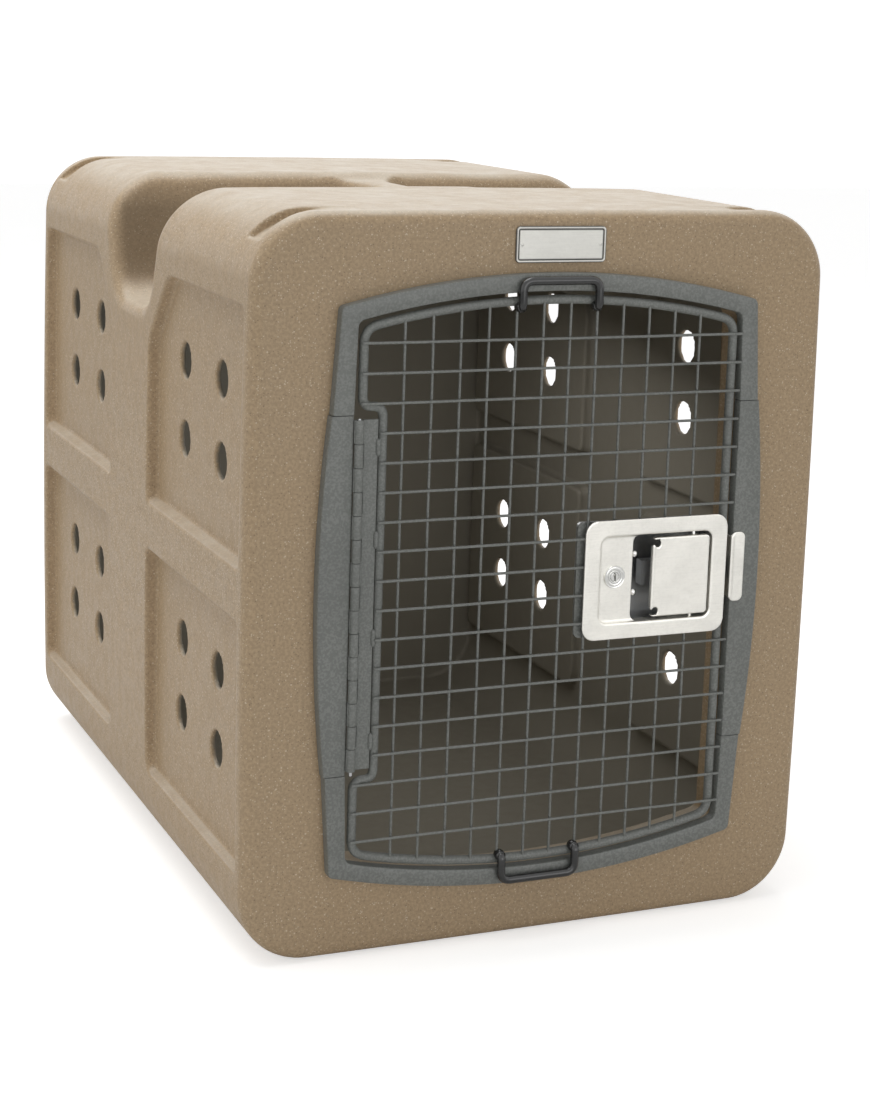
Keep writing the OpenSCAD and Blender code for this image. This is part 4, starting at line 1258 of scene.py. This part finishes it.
        # the ends of the pivot pin, the rivets and the lock's turned face
        ends = []
        for s in (-1, 1):
            top = pz + s * (PIVOT_HI.z - pz)
            ends.append(turned([(0.0004, -0.0012), (0.0014, -0.0008), (0.0016, 0), (0.0016, 0.037)],
                               (PIVOT.x, PIVOT.y, top), (0, 0, -s), 20))
        ob = soften(mesh_piece("pivot_pin", *joined(ends)))
        settle(ob, "door", "zinc", bright_finish(), "paddle_pin")

        lo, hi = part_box("latch_rivets")
        rx = (lo.x + hi.x) / 2
        rz = (lo.z + hi.z) / 2
        tail = hi.y - lo.y
        dome = [(0.0003, -0.0001), (0.0014, 0.0002), (0.0024, 0.0007), (0.0030, 0.0014), (0.0030, 0.0018),
                (0.0015, 0.0020), (0.0015, tail - 0.001), (0.0024, tail - 0.0009), (0.0022, tail)]
        heads = [turned(dome, (rx, lo.y, rz + s * ((hi.z - lo.z) / 2 - 0.003)), (0, 1, 0), 24)
                 for s in (-1, 1)]
        ob = soften(mesh_piece("rivets", *joined(heads)), 40)
        settle(ob, "door", "stainless", bright_finish(), "latch_rivets")

        # the barrel is open along its middle, so its bore takes the place of the two ends
        tail, sides = BARREL_HI.y - LOCK.y, 56
        barrel = [(0.0061, 0.0004), (0.0066, 0.0000), (0.0078, 0.0000), (0.0083, 0.0005), (0.0092, 0.0006),
                  (0.0099, 0.0003), (0.0104, 0.0009), (0.0105, 0.0018), (0.0085, 0.0020),
                  (0.0085, tail - 0.0005), (0.0080, tail), (0.0061, tail)]
        v, f = turned(barrel, LOCK, (0, 1, 0), sides)
        last = (len(barrel) - 1) * sides
        f[-2:] = [(last + k, last + (k + 1) % sides, (k + 1) % sides, k) for k in range(sides)]
        ob = soften(mesh_piece("lock_face", v, f), 40)
        settle(ob, "door", "stainless", bright_finish(), "lock_barrel")

        plug_lo, plug_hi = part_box("lock_plug")

        def plug(x, y, z):
            """A round plug with a ring groove and a keyway in its face."""
            u, v, d = x - LOCK.x, z - LOCK.z, y - plug_lo.y
            rr = np.hypot(u, v)
            half = (plug_hi.y - plug_lo.y) / 2
            body = extruded(rr - 0.0060, np.abs(d - half) - half, 0.0004)
            groove = np.maximum(np.abs(rr - 0.0042) - 0.00028, d - 0.0005)
            key = np.maximum(np.abs(u + 0.00025 * np.sign(v - 0.0008)) - 0.00075, np.abs(v) - 0.0036)
            wide = np.hypot(u, v - 0.0014) - 0.0013
            keyway = np.maximum(np.minimum(key, wide), d - 0.006)
            return np.maximum(smooth_max(body, -groove, 0.0002), -keyway)

        g = 0.0004
        ob = skin("lock_cylinder", plug, np.arange(LOCK.x - 0.0068, LOCK.x + 0.0068, g),
                  ticks(plug_lo.y - 0.001, plug_hi.y + 0.001, 0.002, g,
                        [(plug_lo.y - 0.001, plug_lo.y + 0.0075)]),
                  np.arange(LOCK.z - 0.0068, LOCK.z + 0.0068, g))
        settle(ob, "lock", "stainless", bright_finish(), "lock_plug")

        sx0, sx1 = STRIKE_LO.x, STRIKE_HI.x
        scz, shh = (STRIKE_LO.z + STRIKE_HI.z) / 2, (STRIKE_HI.z - STRIKE_LO.z) / 2

        def strike(x, y, z):
            """A folded tab with a slotted flange."""
            u, v = x - (sx0 + sx1) / 2, z - scz
            tab = extruded(rounded_rect(u, v, (sx1 - sx0) / 2, shh, 0.0055),
                           np.abs(y - STRIKE_LO.y - 0.001) - 0.001, 0.0007)
            depth = np.abs(y - (STRIKE_LO.y + STRIKE_HI.y) / 2) - (STRIKE_HI.y - STRIKE_LO.y) / 2
            flange = extruded(np.maximum(np.abs(x - sx0 - 0.001) - 0.001, np.abs(v) - shh + 0.004),
                              depth, 0.0004)
            d = smooth_min(tab, flange, 0.002)
            gap = np.maximum(BOLT_LO.y - 0.0008 - y, y - BOLT_HI.y - 0.0008)
            return np.maximum(d, -np.maximum(np.abs(z - MID_Z) - 0.0118, gap))

        g = 0.0009
        ob = skin("strike_tab", strike, np.arange(sx0 - 0.002, sx1 + 0.002, g * 0.7),
                  ticks(STRIKE_LO.y - 0.0015, STRIKE_HI.y + 0.002, 0.002, g * 0.7,
                        [(STRIKE_LO.y - 0.002, STRIKE_LO.y + 0.005)]),
                  ticks(scz - shh - 0.002, scz + shh + 0.002, 0.002, g,
                        [(scz - shh - 0.002, scz - shh + 0.010), (scz + shh - 0.010, scz + shh + 0.002)]))
        settle(ob, "carrier", "stainless", steel, "strike_plate")

        for n in ("latch_case", "latch_bolt", "lock_cam"):
            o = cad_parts[n]
            o.data.materials.clear()
            o.data.materials.append(zinc_finish())
        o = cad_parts["latch_back_plate"]
        o.data.materials.clear()
        o.data.materials.append(coat_finish())
        return {"FINISHED"}


# ---------- stage ----------

class CARRIER_OT_stage(Operator):
    """Lays a pale floor and sets the soft studio lights and the camera"""
    bl_idname = "carrier.stage"
    bl_label = "Stage"

    def execute(self, context):
        scene = context.scene
        size, level = 9, -0.0005
        ob = mesh_piece("studio_floor", [(-size, -size, level), (size, -size, level), (size, size, level),
                                         (-size, size, level)], [(0, 1, 2, 3)])
        m, t, p = finish_base("studio_floor")
        co = node(t, "ShaderNodeTexCoord").outputs["Object"]
        c = tuple(colours().floor)
        patch = ramp(t, cloud(t, co, 2.0, 3.0), 0.3, 0.7, 0.0, 0.5)
        t.links.new(mixed(t, patch, c, tuple(v * 0.97 for v in c)), p.inputs["Base Color"])
        t.links.new(ramp(t, cloud(t, co, 30.0, 3.0), 0.3, 0.7, 0.75, 0.85), p.inputs["Roughness"])
        eye = node(t, "ShaderNodeLightPath")
        p.inputs["Emission Color"].default_value = (1, 1, 1, 1)
        glow = math_node(t, "MULTIPLY", eye.outputs["Is Camera Ray"], 0.56)
        t.links.new(glow, p.inputs["Emission Strength"])
        ob.data.materials.append(m)

        world = bpy.data.worlds.new("studio")
        scene.world = world
        world.use_nodes = True
        t = world.node_tree
        bg = t.nodes["Background"]
        bg.inputs["Color"].default_value = (1, 1, 1, 1)
        # bright to the camera and in reflections, dimmer as a light
        seen = node(t, "ShaderNodeLightPath")
        shine = math_node(t, "MULTIPLY", seen.outputs["Is Glossy Ray"], 0.90)
        glow = node(t, "ShaderNodeMapRange")
        glow.inputs["To Min"].default_value = 0.42
        glow.inputs["To Max"].default_value = 1.15
        t.links.new(math_node(t, "MAXIMUM", shine, seen.outputs["Is Camera Ray"]), glow.inputs["Value"])
        t.links.new(glow.outputs["Result"], bg.inputs["Strength"])

        def panel_light(name, place, aim, size, power):
            data = bpy.data.lights.new(name, "AREA")
            data.shape = "RECTANGLE"
            data.size, data.size_y = size
            data.energy = power
            lamp = bpy.data.objects.new(name, data)
            scene.collection.objects.link(lamp)
            lamp.location = place
            lamp.rotation_euler = (Vector(aim) - Vector(place)).to_track_quat("-Z", "Y").to_euler()

        panel_light("overhead", (-0.5, 0.3, 3.0), (0, 0, 0.4), (2.4, 2.4), 50)
        panel_light("left_key", (-3.0, 0.2, 1.6), (0, 0, 0.35), (1.6, 2.2), 9)
        panel_light("cabin_fill", (0, FRONT + 0.30, 2 * HALF_H - 0.16), (0, FRONT + 0.36, 0),
                    (0.30, 0.30), 0.50)
        panel_light("front_fill", (0.5, -3.3, 0.8), (0, -0.3, 0.2), (2.2, 1.5), 12)

        cam = bpy.data.cameras.new("camera")
        ob = bpy.data.objects.new("camera", cam)
        scene.collection.objects.link(ob)
        turn, rise, roll = CAMERA_TURN, CAMERA_RISE, CAMERA_ROLL
        back = Vector((math.sin(turn) * math.cos(rise), -math.cos(turn) * math.cos(rise), math.sin(rise)))
        right = Vector((math.cos(turn), math.sin(turn), 0))
        up = back.cross(right)
        across = right * math.cos(roll) + up * math.sin(roll)
        upright = up * math.cos(roll) - right * math.sin(roll)
        columns = [(*v, w) for v, w in ((across, 0), (upright, 0), (back, 0), (CAMERA_AT, 1))]
        ob.matrix_world = Matrix(columns).transposed()
        cam.sensor_fit = "VERTICAL"
        cam.sensor_height = CAMERA_SENSOR
        cam.lens = CAMERA_LENS
        cam.shift_x, cam.shift_y = CAMERA_SHIFT
        cam.clip_end = 60
        scene.camera = ob
        scene.view_settings.view_transform = "Standard"
        return {"FINISHED"}


class CARRIER_PT_panel(Panel):
    """Lists the carrier's pieces"""
    bl_idname = "CARRIER_PT_panel"
    bl_label = "Pet Transport Carrier"
    bl_space_type = "VIEW_3D"
    bl_region_type = "UI"
    bl_category = "Carrier"

    def draw(self, context):
        column = self.layout.column()
        for op in PIECES:
            column.operator(op.bl_idname)
        for group in (context.scene.carrier_sizes, context.scene.carrier_colours):
            for name in group.__annotations__:
                column.prop(group, name)


PIECES = (CARRIER_OT_body, CARRIER_OT_badge, CARRIER_OT_frame, CARRIER_OT_door, CARRIER_OT_hinge,
          CARRIER_OT_latch, CARRIER_OT_stage)
CLASSES = (CarrierSizes, CarrierColours) + PIECES + (CARRIER_PT_panel,)


def register():
    for c in CLASSES:
        bpy.utils.register_class(c)
    bpy.types.Scene.carrier_sizes = PointerProperty(type=CarrierSizes)
    bpy.types.Scene.carrier_colours = PointerProperty(type=CarrierColours)


def unregister():
    del bpy.types.Scene.carrier_sizes
    del bpy.types.Scene.carrier_colours
    for c in reversed(CLASSES):
        bpy.utils.unregister_class(c)


def main():
    register()
    for op in PIECES:
        getattr(bpy.ops.carrier, op.bl_idname.split(".")[1])()


if __name__ == "__main__":
    main()
